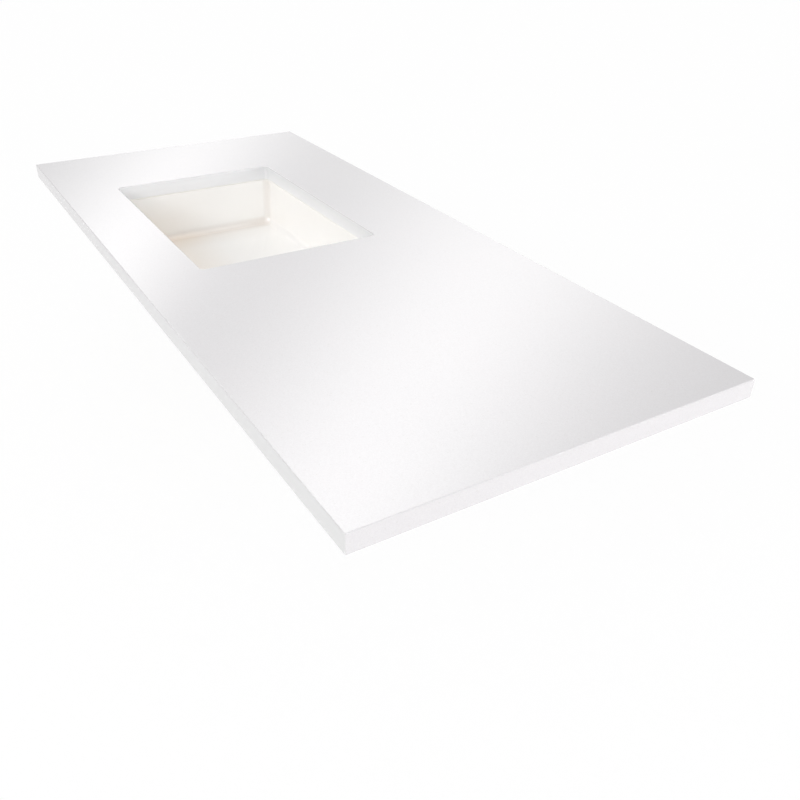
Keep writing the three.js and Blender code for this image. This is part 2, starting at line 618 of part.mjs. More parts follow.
// Drain body: flange, throat, tube with overflow slots and the carrier that holds the cartridge
function drainBody() {
  const tube = turnedRing([
    [SOCKET_RADIUS, BODY_UNDER_Z],
    [BODY_RADIUS - BODY_END_CHAMFER, BODY_UNDER_Z],
    [BODY_RADIUS, BODY_UNDER_Z + BODY_END_CHAMFER],
    [BODY_RADIUS, FLANGE_SEAL_THICKNESS - NECK_LENGTH],
    [NECK_RADIUS, FLANGE_SEAL_THICKNESS - NECK_LENGTH],
    [NECK_RADIUS, FLANGE_SEAL_THICKNESS],
    [FLANGE_RADIUS, FLANGE_SEAL_THICKNESS],
    [FLANGE_RADIUS, FLANGE_SEAL_THICKNESS + FLANGE_EDGE],
    [(FLANGE_RADIUS + THROAT_RADIUS) / 2, FLANGE_TOP_Z],
    [THROAT_RADIUS, FLANGE_TOP_Z],
    [BODY_BORE_RADIUS, FLANGE_TOP_Z - THROAT_CONE_DEPTH],
    [BODY_BORE_RADIUS, SOCKET_TOP_Z + BODY_SHOULDER_HEIGHT],
    [TAILPIECE_BORE_RADIUS, SOCKET_TOP_Z + BODY_SHOULDER_HEIGHT],
    [TAILPIECE_BORE_RADIUS, SOCKET_TOP_Z],
    [SOCKET_RADIUS, SOCKET_TOP_Z],
  ]);
  const boss = flatRing(
    CARTRIDGE_RADIUS + SEAT_GAP,
    CARRIER_BOSS_RADIUS,
    -CARRIER_TOP - CARRIER_BOSS_HEIGHT,
    -CARRIER_TOP,
    ROUND_SEGMENTS,
  );
  const armStart = (CARTRIDGE_RADIUS + SEAT_GAP + CARRIER_BOSS_RADIUS) / 2;
  const armEnd = BODY_RADIUS - BODY_WALL / 2;
  const arm = new THREE.BoxGeometry(armEnd - armStart, CARRIER_ARM_THICKNESS, CARRIER_ARM_HEIGHT);
  arm.translate((armStart + armEnd) / 2, 0, -CARRIER_TOP - CARRIER_BOSS_HEIGHT / 2);
  const arms = Array.from({ length: CARRIER_ARMS }, (_, i) => {
    const turn = (i * Math.PI * 2) / CARRIER_ARMS;
    return arm.clone().rotateZ(turn);
  });
  const slot = plate(oblong(BODY_SLOT_LENGTH, BODY_SLOT_HEIGHT), NECK_RADIUS * 2)
    .rotateX(Math.PI / 2)
    .translate(0, NECK_RADIUS, -OVERFLOW_PORT_DROP);
  return worked(tube, [boss, ...arms], [slot]);
}

addPiece(waste, 'drain_body', drainBody(), CHROME);
const flangeSeal = flatRing(NECK_RADIUS + SEAT_GAP, FLANGE_RADIUS - FLANGE_EDGE, 0, FLANGE_SEAL_THICKNESS);
addPiece(waste, 'flange_seal', flangeSeal, RUBBER);

// Pieces threaded on the body from below: gasket, friction washer and lock nut
const BOSS_FACE_Z = -DRAIN_BOSS_HEIGHT;
const GASKET_UNDER_Z = BOSS_FACE_Z - GASKET_HEIGHT;
const FRICTION_WASHER_UNDER_Z = GASKET_UNDER_Z - FRICTION_WASHER_THICKNESS;

function drainGasket() {
  const spigotRadius = DRAIN_BORE_RADIUS - SEAT_GAP;
  return turnedRing([
    [THREAD_BORE_RADIUS, GASKET_UNDER_Z],
    [GASKET_RADIUS - GASKET_TAPER, GASKET_UNDER_Z],
    [GASKET_RADIUS, BOSS_FACE_Z - GASKET_TAPER],
    [GASKET_RADIUS, BOSS_FACE_Z],
    [spigotRadius, BOSS_FACE_Z],
    [spigotRadius, BOSS_FACE_Z + GASKET_SPIGOT_HEIGHT],
    [THREAD_BORE_RADIUS, BOSS_FACE_Z + GASKET_SPIGOT_HEIGHT],
  ]);
}

function lockNut() {
  const cornerRadius = LOCK_NUT_ACROSS_FLATS / 2 / Math.cos(Math.PI / 6);
  const hexagon = new THREE.Shape();
  for (let corner = 0; corner < 6; corner++) {
    const angle = (corner * Math.PI) / 3;
    const place = [cornerRadius * Math.cos(angle), cornerRadius * Math.sin(angle)];
    if (corner === 0) hexagon.moveTo(...place);
    else hexagon.lineTo(...place);
  }
  const bore = new THREE.Path();
  bore.absarc(0, 0, THREAD_BORE_RADIUS, 0, Math.PI * 2, true);
  hexagon.holes.push(bore);
  const lowZ = FRICTION_WASHER_UNDER_Z - LOCK_NUT_HEIGHT;
  return plate(hexagon, LOCK_NUT_HEIGHT, ROUND_SEGMENTS).translate(0, 0, lowZ);
}

addPiece(waste, 'drain_gasket', drainGasket(), RUBBER);
const frictionWasher = flatRing(
  THREAD_BORE_RADIUS,
  FRICTION_WASHER_RADIUS,
  FRICTION_WASHER_UNDER_Z,
  GASKET_UNDER_Z,
);
addPiece(waste, 'friction_washer', frictionWasher, NYLON);
addPiece(waste, 'lock_nut', lockNut(), BRASS);

// Tailpiece, screwed up into the body against its seal
const TAILPIECE_TOP_Z = SOCKET_TOP_Z - TAILPIECE_SEAL_THICKNESS;

function tailpiece() {
  const collarUnderZ = TAILPIECE_TOP_Z - TAILPIECE_COLLAR_HEIGHT;
  const lowZ = TAILPIECE_TOP_Z - TAILPIECE_LENGTH;
  return turnedRing([
    [TAILPIECE_BORE_RADIUS, lowZ],
    [TAILPIECE_RADIUS, lowZ],
    [TAILPIECE_RADIUS, collarUnderZ],
    [SOCKET_RADIUS - SEAT_GAP, collarUnderZ],
    [SOCKET_RADIUS - SEAT_GAP, TAILPIECE_TOP_Z],
    [TAILPIECE_BORE_RADIUS, TAILPIECE_TOP_Z],
  ]);
}

const tailpieceSeal = flatRing(TAILPIECE_RADIUS, SOCKET_RADIUS - SEAT_GAP, TAILPIECE_TOP_Z, SOCKET_TOP_Z);
addPiece(waste, 'tailpiece_seal', tailpieceSeal, RUBBER);
addPiece(waste, 'tailpiece', tailpiece(), CHROME);

// Cartridge: it stands in the carrier's boss on its own flange and holds the spring under the plunger
const CARTRIDGE_BORE_RADIUS = PLUNGER_COLLAR_RADIUS + SEAT_GAP;
const CARTRIDGE_UNDER_Z = -CARRIER_TOP - CARRIER_BOSS_HEIGHT;
const SPRING_LOW_Z = CARTRIDGE_UNDER_Z + CARTRIDGE_PLUG_HEIGHT;
const PLUNGER_LOW_Z = SPRING_LOW_Z + SPRING_CLOSED_LENGTH;
const PLUNGER_COLLAR_TOP_Z = PLUNGER_LOW_Z + PLUNGER_COLLAR_HEIGHT;
const CARTRIDGE_NECK_Z = PLUNGER_COLLAR_TOP_Z + STOPPER_TRAVEL + SEAT_GAP;
const CARTRIDGE_TOP_Z = CARTRIDGE_NECK_Z + CARTRIDGE_NECK_HEIGHT;

function cartridgeHousing() {
  const flangeTopZ = CARTRIDGE_FLANGE_HEIGHT - CARRIER_TOP;
  return turnedRing([
    [CARTRIDGE_BORE_RADIUS, CARTRIDGE_UNDER_Z],
    [CARTRIDGE_RADIUS, CARTRIDGE_UNDER_Z],
    [CARTRIDGE_RADIUS, -CARRIER_TOP],
    [CARTRIDGE_FLANGE_RADIUS, -CARRIER_TOP],
    [CARTRIDGE_FLANGE_RADIUS, flangeTopZ],
    [CARTRIDGE_RADIUS, flangeTopZ],
    [CARTRIDGE_RADIUS, CARTRIDGE_NECK_Z],
    [(CARTRIDGE_RADIUS + CARTRIDGE_BORE_RADIUS) / 2, CARTRIDGE_TOP_Z],
    [PLUNGER_RADIUS + SEAT_GAP, CARTRIDGE_TOP_Z],
    [PLUNGER_RADIUS + SEAT_GAP, CARTRIDGE_NECK_Z],
    [CARTRIDGE_BORE_RADIUS, CARTRIDGE_NECK_Z],
  ]);
}

// The spring's centre line, from just above the plug to just under the plunger
class SpringCurve extends THREE.Curve {
  getPoint(share, target = new THREE.Vector3()) {
    const radius = PLUNGER_COLLAR_RADIUS - SPRING_WIRE_RADIUS - SEAT_GAP;
    const endRoom = SPRING_WIRE_RADIUS + SEAT_GAP;
    const angle = share * SPRING_TURNS * Math.PI * 2;
    const z = SPRING_LOW_Z + endRoom + share * (SPRING_CLOSED_LENGTH - endRoom * 2);
    return target.set(radius * Math.cos(angle), radius * Math.sin(angle), z);
  }
}

function cartridgeSpring() {
  const wire = new THREE.Shape();
  wire.absarc(0, 0, SPRING_WIRE_RADIUS, 0, Math.PI * 2, false);
  const steps = SPRING_TURNS * SPRING_STEPS_PER_TURN;
  const options = { steps, curveSegments: curveSegmentsFor(SPRING_SIDES), extrudePath: new SpringCurve() };
  return new THREE.ExtrudeGeometry(wire, options);
}

const plugRadius = CARTRIDGE_BORE_RADIUS - SEAT_GAP;
const plug = flatDisc(plugRadius, CARTRIDGE_UNDER_Z, SPRING_LOW_Z, ROUND_SEGMENTS);
addPiece(waste, 'cartridge_housing', cartridgeHousing(), BRASS);
addPiece(waste, 'cartridge_spring', cartridgeSpring(), ZINC_STEEL);
addPiece(waste, 'cartridge_plug', plug, BRASS);

// Stopper: cap, seal and plunger rise together by the travel, and are built here pushed down
const CAP_UNDER_Z = FLANGE_TOP_Z + SEAT_GAP;
const SEAL_UNDER_Z = CAP_UNDER_Z - STOPPER_SEAL_THICKNESS;
const CAP_STEM_UNDER_Z = SEAL_UNDER_Z - CAP_STEM_LIP_HEIGHT;
const CAP_SOCKET_TOP_Z = CAP_STEM_UNDER_Z + CAP_SOCKET_DEPTH;

function stopperCap() {
  const edgeTopZ = CAP_UNDER_Z + CAP_EDGE_HEIGHT;
  const crown = Array.from({ length: ARC_STEPS + 1 }, (_, step) => {
    const angle = ((1 - step / ARC_STEPS) * Math.PI) / 2;
    return [CAP_RADIUS * Math.cos(angle), edgeTopZ + CAP_CROWN_HEIGHT * Math.sin(angle)];
  });
  crown[0][0] = 0;
  const outline = [
    ...crown,
    [CAP_RADIUS - CAP_UNDERCUT, CAP_UNDER_Z],
    [CAP_STEM_RADIUS, CAP_UNDER_Z],
    [CAP_STEM_RADIUS, SEAL_UNDER_Z],
    [CAP_STEM_RADIUS + CAP_STEM_LIP, SEAL_UNDER_Z],
    [CAP_STEM_RADIUS + CAP_STEM_LIP, CAP_STEM_UNDER_Z],
    [PLUNGER_RADIUS + SEAT_GAP, CAP_STEM_UNDER_Z],
    [PLUNGER_RADIUS + SEAT_GAP, CAP_SOCKET_TOP_Z],
    [0, CAP_SOCKET_TOP_Z],
  ];
  return turned(outline.reverse());
}

// The seal's edge follows the throat's cone
function stopperSeal() {
  const coneRun = (THROAT_RADIUS - BODY_BORE_RADIUS) / THROAT_CONE_DEPTH;
  const throatAt = (z) => THROAT_RADIUS - coneRun * (FLANGE_TOP_Z - z);
  return turnedRing([
    [CAP_STEM_RADIUS + SEAT_GAP, SEAL_UNDER_Z],
    [throatAt(SEAL_UNDER_Z) - SEAT_GAP - SEAT_GAP, SEAL_UNDER_Z],
    [THROAT_RADIUS - SEAT_GAP - SEAT_GAP, FLANGE_TOP_Z],
    [THROAT_RADIUS - SEAT_GAP - SEAT_GAP, CAP_UNDER_Z],
    [CAP_STEM_RADIUS + SEAT_GAP, CAP_UNDER_Z],
  ]);
}

function stopperPlunger() {
  const topZ = CAP_SOCKET_TOP_Z - SEAT_GAP;
  return turned([
    [0, PLUNGER_LOW_Z],
    [PLUNGER_COLLAR_RADIUS, PLUNGER_LOW_Z],
    [PLUNGER_COLLAR_RADIUS, PLUNGER_COLLAR_TOP_Z],
    [PLUNGER_RADIUS, PLUNGER_COLLAR_TOP_Z],
    [PLUNGER_RADIUS, topZ],
    [0, topZ],
  ]);
}

const stopper = new THREE.Group();
waste.add(stopper);
addPiece(stopper, 'stopper_cap', stopperCap(), CHROME);
addPiece(stopper, 'stopper_seal', stopperSeal(), RUBBER);
addPiece(stopper, 'stopper_plunger', stopperPlunger(), BRASS);

export default group;
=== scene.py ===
import math

import bmesh
import bpy
import numpy as np
from mathutils import Matrix, Vector


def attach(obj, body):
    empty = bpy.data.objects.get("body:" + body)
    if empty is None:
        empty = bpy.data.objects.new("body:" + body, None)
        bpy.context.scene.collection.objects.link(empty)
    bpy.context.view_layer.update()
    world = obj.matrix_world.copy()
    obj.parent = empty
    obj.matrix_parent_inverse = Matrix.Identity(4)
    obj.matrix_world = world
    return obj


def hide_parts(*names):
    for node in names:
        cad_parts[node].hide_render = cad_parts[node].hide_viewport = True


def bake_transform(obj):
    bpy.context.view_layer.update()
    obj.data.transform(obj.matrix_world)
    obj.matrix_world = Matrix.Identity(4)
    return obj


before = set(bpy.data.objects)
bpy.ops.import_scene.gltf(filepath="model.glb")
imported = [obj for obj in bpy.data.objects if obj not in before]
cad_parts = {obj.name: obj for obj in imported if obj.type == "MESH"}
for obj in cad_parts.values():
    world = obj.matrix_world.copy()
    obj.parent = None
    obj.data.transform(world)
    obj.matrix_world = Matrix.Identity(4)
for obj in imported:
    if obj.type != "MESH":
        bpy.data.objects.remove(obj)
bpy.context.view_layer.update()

# A white stone vanity top with a glazed basin under its cut-out and the basin's push waste.
# Sizes are millimetres in the part's frame, and shapes are made in metres: the origin is the
# middle of the slab's back edge on its underside, +X right, +Y towards the wall, +Z up. A pair
# that a tone rises between, such as SAWN_Z, is in metres.


# Studio: the view from the front right, a pale floor below the tailpiece and an even pale sky.
# Three lamps light the top without showing in its polish. Three soft strips of sky show only in
# mirror images, and make the bands that cross the slab.
MM = 0.001
CAMERA_PLACE = (1.1730, -0.8319, 0.5328)
CAMERA_AZIMUTH, CAMERA_PITCH, CAMERA_ROLL = (math.radians(a) for a in (147.848, 31.725, -1.187))
CAMERA_LENS, SENSOR_WIDTH = 38.27, 36
FLOOR_Z, FLOOR_SIZE = -0.3010, 14.0
FLOOR_GLOW = 0.90
LIT_POINT = (0, -0.28, 0)
LAMPS = [
    ("front_light", (1.05, -4.20, 1.90), 1.0, 1.0, 25.0),
    ("corner_light", (2.60, -3.40, 1.90), 1.0, 1.0, 18.0),
    ("side_light", (3.90, 0.90, 0.11), 1.2, 0.30, 54.0),
]
SKY_STRENGTH = 0.855
SKY_SHINE, SHINE_RISE, SHINE_FULL, HORIZON_SHINE = 0.688, 1.82, 0.66, 0.797
STRIPS = [((58.2, 41.3), 4.5, 6.8), ((38.6, 27.3), 11.0, 5.7), ((165.0, 20.0), 9.0, 3.0)]

scene = bpy.context.scene
scene.view_settings.view_transform = "Standard"


class Flow:
    """One output of a shader node. Sums on it add Math nodes, and node() adds any other node."""

    def __init__(self, tree, socket=None):
        self.tree = tree
        self.socket = socket

    def node(self, kind, values=(), output=0, **settings):
        """A new node: its settings first, then the values or links of its sockets."""
        made = self.tree.nodes.new("ShaderNode" + kind)
        for name, setting in settings.items():
            setattr(made, name, setting)
        for key, value in dict(values).items():
            if isinstance(value, Flow):
                self.tree.links.new(value.socket, made.inputs[key])
            else:
                made.inputs[key].default_value = value
        return Flow(self.tree, made.outputs[output])

    def math(self, operation, *others):
        """This value and the others put through one Math operation."""
        return self.node("Math", enumerate((self, *others)), operation=operation)

    def __add__(self, other):
        return self.math("ADD", other)

    def __sub__(self, other):
        return self.math("SUBTRACT", other)

    def __rsub__(self, other):
        return self.math("MULTIPLY_ADD", -1, other)

    def __mul__(self, other):
        return self.math("MULTIPLY", other)

    __radd__ = __add__
    __rmul__ = __mul__

    def rise(self, low, high):
        """0 below low, 1 above high, and straight between them."""
        return self.node("MapRange", {0: self, 1: low, 2: high}, clamp=True)

    def blend(self, first, second):
        """A colour: the first where this is 0 and the second where it is 1."""
        return self.node("Mix", {0: self, 6: first, 7: second}, output=2, data_type="RGBA")

    def noise(self, scale, detail=2.0):
        """Cloudy noise about 0.5 at this place; the scale is in waves a metre."""
        return self.node("TexNoise", {"Vector": self, "Scale": scale, "Detail": detail})

    def cells(self, scale, output):
        """What a Voronoi pattern gives at this place; the scale is in cells a metre."""
        return self.node("TexVoronoi", {"Vector": self, "Scale": scale}, output=output)

    def parts(self):
        """The X, Y and Z of a vector."""
        return [self.node("SeparateXYZ", {0: self}, output=axis) for axis in range(3)]


def paint(red, green, blue):
    """A colour written in 0 to 255 screen steps, as the linear light that a shader takes."""
    share = np.array([red, green, blue]) / 255
    linear = np.where(share <= 0.04045, share / 12.92, ((share + 0.055) / 1.055) ** 2.4)
    return (*linear.tolist(), 1.0)


def new_finish(name, **constants):
    """A material, its Principled shader with these constant sockets, and its object place."""
    material = bpy.data.materials.new(name)
    material.use_nodes = True
    tree = material.node_tree
    shader = tree.nodes["Principled BSDF"]
    for socket, value in constants.items():
        shader.inputs[socket.replace("_", " ")].default_value = value
    place = Flow(tree).node("TexCoord", output="Object")
    return material, shader, place


def feed(shader, **flows):
    """Links what varies over the surface to the shader's sockets of those names."""
    for name, flow in flows.items():
        flow.tree.links.new(flow.socket, shader.inputs[name.replace("_", " ")])


def bump(height, strength, distance):
    """A surface normal tilted by a height that varies; the distance is its reach in metres."""
    values = {"Strength": strength, "Distance": distance, "Height": height}
    return height.node("Bump", values)


def add_camera():
    """The camera's axes from its heading, its downward pitch and its roll about its sight line."""
    level, drop = math.cos(CAMERA_PITCH), -math.sin(CAMERA_PITCH)
    east, north = math.cos(CAMERA_AZIMUTH), math.sin(CAMERA_AZIMUTH)
    ahead = Vector((east * level, north * level, drop))
    right = Vector((north, -east, 0))
    down = ahead.cross(right)
    turned_right = right * math.cos(CAMERA_ROLL) + down * math.sin(CAMERA_ROLL)
    turned_down = down * math.cos(CAMERA_ROLL) - right * math.sin(CAMERA_ROLL)
    axes = Matrix((turned_right, -turned_down, -ahead)).transposed().to_4x4()
    camera = bpy.data.objects.new("camera", bpy.data.cameras.new("camera"))
    camera.data.sensor_width = SENSOR_WIDTH
    camera.data.lens = CAMERA_LENS
    camera.data.clip_start, camera.data.clip_end = 0.01, 100
    camera.matrix_world = Matrix.Translation(CAMERA_PLACE) @ axes
    scene.collection.objects.link(camera)
    scene.camera = camera


def add_lamp(name, centre, width, height, power):
    """An upright rectangular lamp at centre that faces the lit point and shows in no mirror."""
    light = bpy.data.lights.new(name, "AREA")
    light.shape, light.size, light.size_y, light.energy = "RECTANGLE", height, width, power
    lamp = bpy.data.objects.new(name, light)
    back = (Vector(centre) - Vector(LIT_POINT)).normalized()
    across = back.cross(Vector((0, 0, 1))).normalized()
    axes = Matrix((across.cross(back), across, back)).transposed().to_4x4()
    lamp.matrix_world = Matrix.Translation(centre) @ axes
    lamp.visible_glossy = False
    scene.collection.objects.link(lamp)


def ray_kinds(tree):
    """1 for what the camera sees, and 1 for what shows in a mirror or through a glass."""
    rays = ("Is Camera Ray", "Is Glossy Ray", "Is Transmission Ray")
    camera_ray, glossy_ray, through_ray = (Flow(tree).node("LightPath", output=ray) for ray in rays)
    return camera_ray, glossy_ray.math("MAXIMUM", through_ray)


add_camera()
for lamp_values in LAMPS:
    add_lamp(*lamp_values)

world = bpy.data.worlds.new("surrounding")
world.use_nodes = True
scene.world = world
surround = world.node_tree.nodes["Background"]
surround.inputs["Color"].default_value = (1, 1, 1, 1)
camera_ray, mirror_ray = ray_kinds(world.node_tree)
direction = Flow(world.node_tree).node("TexCoord", output="Generated")
shine = SKY_SHINE
for (heading, height), width, power in STRIPS:
    heading, height = math.radians(heading), math.radians(height)
    level = math.cos(height)
    pole = (math.cos(heading) * level, math.sin(heading) * level, math.sin(height))
    values = {0: direction, 1: pole}
    aside = direction.node("VectorMath", values, output="Value", operation="DOT_PRODUCT")
    aside = aside * (1 / math.sin(math.radians(width)))
    shine = shine + (aside * aside * -1).math("EXPONENT") * power
upwards = direction.parts()[2].rise(0, SHINE_FULL)
shine = shine * upwards.math("POWER", SHINE_RISE) + HORIZON_SHINE
strength = mirror_ray * (shine - SKY_STRENGTH) + camera_ray * (1 - SKY_STRENGTH) + SKY_STRENGTH
world.node_tree.links.new(strength.socket, surround.inputs["Strength"])

floor_finish, floor_shader, floor_place = new_finish("pale floor", Roughness=0.9)
floor_colour = floor_place.noise(0.8).blend(paint(248, 248, 248), paint(252, 252, 252))
feed(floor_shader, Base_Color=floor_colour)
glow = floor_place.node("Emission", {"Color": (1, 1, 1, 1), "Strength": 1.0})
camera_ray, mirror_ray = ray_kinds(floor_finish.node_tree)
glow_share = camera_ray.math("MAXIMUM", mirror_ray) * FLOOR_GLOW
floor_mix = floor_place.node("MixShader", {0: glow_share, 2: glow})
floor_links = floor_finish.node_tree.links
floor_links.new(floor_shader.outputs[0], floor_mix.socket.node.inputs[1])
floor_output = floor_finish.node_tree.nodes["Material Output"]
floor_links.new(floor_mix.socket, floor_output.inputs["Surface"])
half = FLOOR_SIZE / 2
floor_corners = [(x * half, y * half, FLOOR_Z) for x, y in ((-1, -1), (1, -1), (1, 1), (-1, 1))]
floor_mesh = bpy.data.meshes.new("floor")
floor_mesh.from_pydata(floor_corners, [], [(0, 1, 2, 3)])
floor_mesh.materials.append(floor_finish)
floor = bpy.data.objects.new("floor", floor_mesh)
scene.collection.objects.link(floor)


# Countertop slab: one slab of pale engineered stone, sawn and gauged flat underneath, polished on
# top and on its edges, and honed round the cut-out. The honed walls and the underside are painted
# lighter, partly for the honing and partly as painted light, and the front face has painted light
# towards the right end. Its upper edges are eased, and six blind holes take the inserts.
SLAB_HALF = (650.0, 279.5)
SLAB_CENTRE_Y = -279.5
SLAB_THICKNESS = 25.4
SLAB_CORNER, SLAB_EASE, SLAB_UNDER_EASE = 2.0, 1.5, 0.5
CUTOUT_CENTRE = np.array([-205.0, -309.0])
CUTOUT_HALF = (220.0, 150.0)
CUTOUT_CORNER = 8.0
HOLE_RADIUS, HOLE_DEPTH, HOLE_POINTS = 5.3, 13.3, 32
FIXINGS = [
    (-123.2, -190.5, -90), (123.2, -190.5, -90), (-123.2, 190.5, 90),
    (123.2, 190.5, 90), (-260.5, 0.0, 180), (260.5, 0.0, 0),
]
MERGE_DISTANCE, SHARP_ANGLE = 1e-7, math.radians(32)
SAWN_Z, HONED_Z, PAINTED_LIGHT_Z = (0.00005, 0.0006), (0.0238, 0.0250), (0.002, 0.024)
HONED_REACH = (0.3, 1.3)
FRONT_FACE_Y, FRONT_PAINTED_LIGHT_X = (-0.5589, -0.5583), (-0.85, 0.65)
POLISHED, SMEARED, SAWN, HONED = 0.12, 0.01, 0.2, 0.23


def rounded_loop(half_x, half_y, radius, corner_steps, side_steps):
    """Points of a rounded rectangle about the origin, anticlockwise. A corner is a quarter circle,
    its centre plus radius times (cos, sin), and each side is a straight run in equal steps."""
    turn = np.linspace(0, 1, corner_steps + 1)
    share = np.arange(1, side_steps)[:, None] / side_steps
    arcs = []
    for corner, (side_x, side_y) in enumerate([(1, 1), (-1, 1), (-1, -1), (1, -1)]):
        angle = (corner + turn) * math.pi / 2
        centre = np.array([side_x * (half_x - radius), side_y * (half_y - radius)])
        arcs.append(centre + radius * np.stack([np.cos(angle), np.sin(angle)], 1))
    runs = [arcs[i][-1] + (arcs[(i + 1) % 4][0] - arcs[i][-1]) * share for i in range(4)]
    return np.concatenate([points for pair in zip(arcs, runs) for points in pair])


def arc(centre, radius, start, end, steps=6):
    """Points of a circle's arc, centre plus radius times (cos, sin), between two angles that are
    given in degrees."""
    angle = np.radians(np.linspace(start, end, steps + 1))
    return np.array(centre) + radius * np.stack([np.cos(angle), np.sin(angle)], 1)


def at_height(loop, z):
    """A flat loop of points lifted to the height z."""
    return np.column_stack([loop, np.full(len(loop), z)])


def slab_ring(half, corner, middle, grow, z):
    """A rounded rectangle about its middle, every side moved out by grow, at the height z."""
    return at_height(rounded_loop(half[0] + grow, half[1] + grow, corner + grow, 12, 1) + middle, z)


def tidy_mesh(mesh):
    """Closes seams and poles, splits the many-sided faces that cutting leaves, turns the faces
    outwards and keeps only the real corners sharp."""
    work = bmesh.new()
    work.from_mesh(mesh)
    bmesh.ops.remove_doubles(work, verts=work.verts, dist=MERGE_DISTANCE)
    bmesh.ops.triangulate(work, faces=[face for face in work.faces if len(face.verts) > 4])
    bmesh.ops.recalc_face_normals(work, faces=work.faces)
    work.to_mesh(mesh)
    work.free()
    mesh.shade_smooth()
    mesh.set_sharp_from_angle(angle=SHARP_ANGLE)


def solid(name, loops, centre=(0, 0, 0), wrap=True):
    """A closed skin over a stack of closed loops, rows by points by (x, y, z) in millimetres: each
    point joins the next in its loop and the two in the next loop. The stack closes on itself when
    wrap is true; otherwise each end closes on its own middle."""
    if not wrap:
        ends = [np.broadcast_to(loops[i].mean(0), loops[i].shape)[None] for i in (0, -1)]
        loops = np.concatenate([ends[0], loops, ends[1]])
    rows, columns = loops.shape[:2]
    i = np.arange(rows if wrap else rows - 1)[:, None]
    j = np.arange(columns)[None]
    right, below = (j + 1) % columns, (i + 1) % rows
    quads = [i * columns + j, i * columns + right, below * columns + right, below * columns + j]
    mesh = bpy.data.meshes.new(name)
    points = (loops.reshape(-1, 3) + np.array(centre)) * MM
    mesh.from_pydata(points.tolist(), [], np.stack(quads, -1).reshape(-1, 4).tolist())
    tidy_mesh(mesh)
    made = bpy.data.objects.new(name, mesh)
    scene.collection.objects.link(made)
    return made


def moved_copy(piece, name, place):
    """A copy of a piece turned about Z by the last of place, in degrees, and then moved by the
    other three, in millimetres."""
    x, y, z, degrees = place
    turned_about = Matrix.Rotation(math.radians(degrees), 4, "Z")
    made = piece.copy()
    made.data = piece.data.copy()
    made.name = made.data.name = name
    made.data.transform(Matrix.Translation((x * MM, y * MM, z * MM)) @ turned_about)
    scene.collection.objects.link(made)
    return made


def worked(base, joins=(), cuts=()):
    """The base joined with some pieces and cut by others; these are used up."""
    tools = [(tool, "UNION") for tool in joins] + [(tool, "DIFFERENCE") for tool in cuts]
    for tool, operation in tools:
        step = base.modifiers.new("work", "BOOLEAN")
        step.operation, step.object, step.solver = operation, tool, "EXACT"
    bpy.context.view_layer.update()
    finished = base.evaluated_get(bpy.context.evaluated_depsgraph_get())
    result = bpy.data.meshes.new_from_object(finished)
    base.modifiers.clear()
    base.data = result
    discard(*(tool for tool, _ in tools))
    tidy_mesh(result)
    return base


def discard(*pieces):
    """Takes away tools that are used up and patterns that were only copied."""
    for piece in pieces:
        bpy.data.objects.remove(piece)


def fit_piece(piece, node, finish, body="sink_top"):
    """The piece stands for its solid, on its body, in its finish. Flat faces are shaded flat."""
    piece.data.materials.clear()
    piece.data.materials.append(finish)
    piece.modifiers.new("even faces", "WEIGHTED_NORMAL").keep_sharp = True
    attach(piece, body)
    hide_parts(node)


def within(place, half, low, high):
    """1 inside a rectangle about the cut-out's centre, and 0 outside it: it falls between the low
    and the high distance from its sides."""
    outside = [
        (axis - middle * MM).math("ABSOLUTE").rise((size + low) * MM, (size + high) * MM)
        for axis, middle, size in zip(place.parts(), CUTOUT_CENTRE.tolist(), half)
    ]
    return (1 - outside[0]) * (1 - outside[1])


stone, stone_shader, stone_place = new_finish("polished stone", IOR=1.52)
along, across, height = stone_place.parts()
sawn = 1 - height.rise(*SAWN_Z)
honed = within(stone_place, CUTOUT_HALF, *HONED_REACH) * (1 - height.rise(*HONED_Z))
honed = honed.math("MAXIMUM", sawn)
grain = stone_place.cells(900.0, "Color").parts()[0]
cloud = stone_place.noise(7.0, 4.0)
fleck = grain.rise(0.93, 0.97) * stone_place.noise(260.0).rise(0.45, 0.6)
smear = stone_place.noise(11.0, 3.0).rise(0.35, 0.75)
saw_values = {"Vector": stone_place, "Scale": 60.0, "Distortion": 1.5}
saw_lines = stone_place.node("TexWave", saw_values, output="Fac")
# Painted light: the front face is painted lighter, more so towards the right end, to stand for
# light falling on it.
front_painted_light = (1 - across.rise(*FRONT_FACE_Y)) * along.rise(*FRONT_PAINTED_LIGHT_X)
stone_colour = cloud.rise(0.2, 0.8).blend(paint(203, 201, 203), paint(205, 202, 204))
stone_colour = (grain * 0.4).blend(stone_colour, paint(216, 215, 216))
stone_colour = (fleck * 0.4).blend(stone_colour, paint(184, 182, 178))
stone_colour = front_painted_light.blend(stone_colour, paint(213, 213, 213))
# Painted light: the honed cut-out walls and the underside are painted far lighter than the polished
# stone, partly for the honing and partly to stand for light on the shaded walls. The walls are
# painted lighter still towards the bottom, where less light falls.
honed_painted_light = height.rise(*PAINTED_LIGHT_Z).blend(paint(238, 239, 241), paint(226, 227, 229))
feed(
    stone_shader,
    Base_Color=honed.blend(stone_colour, honed_painted_light),
    Roughness=smear * SMEARED + sawn * SAWN + honed * HONED + POLISHED,
    Normal=bump(sawn * saw_lines * 0.6 + sawn * grain, 0.5, 0.00008),
)

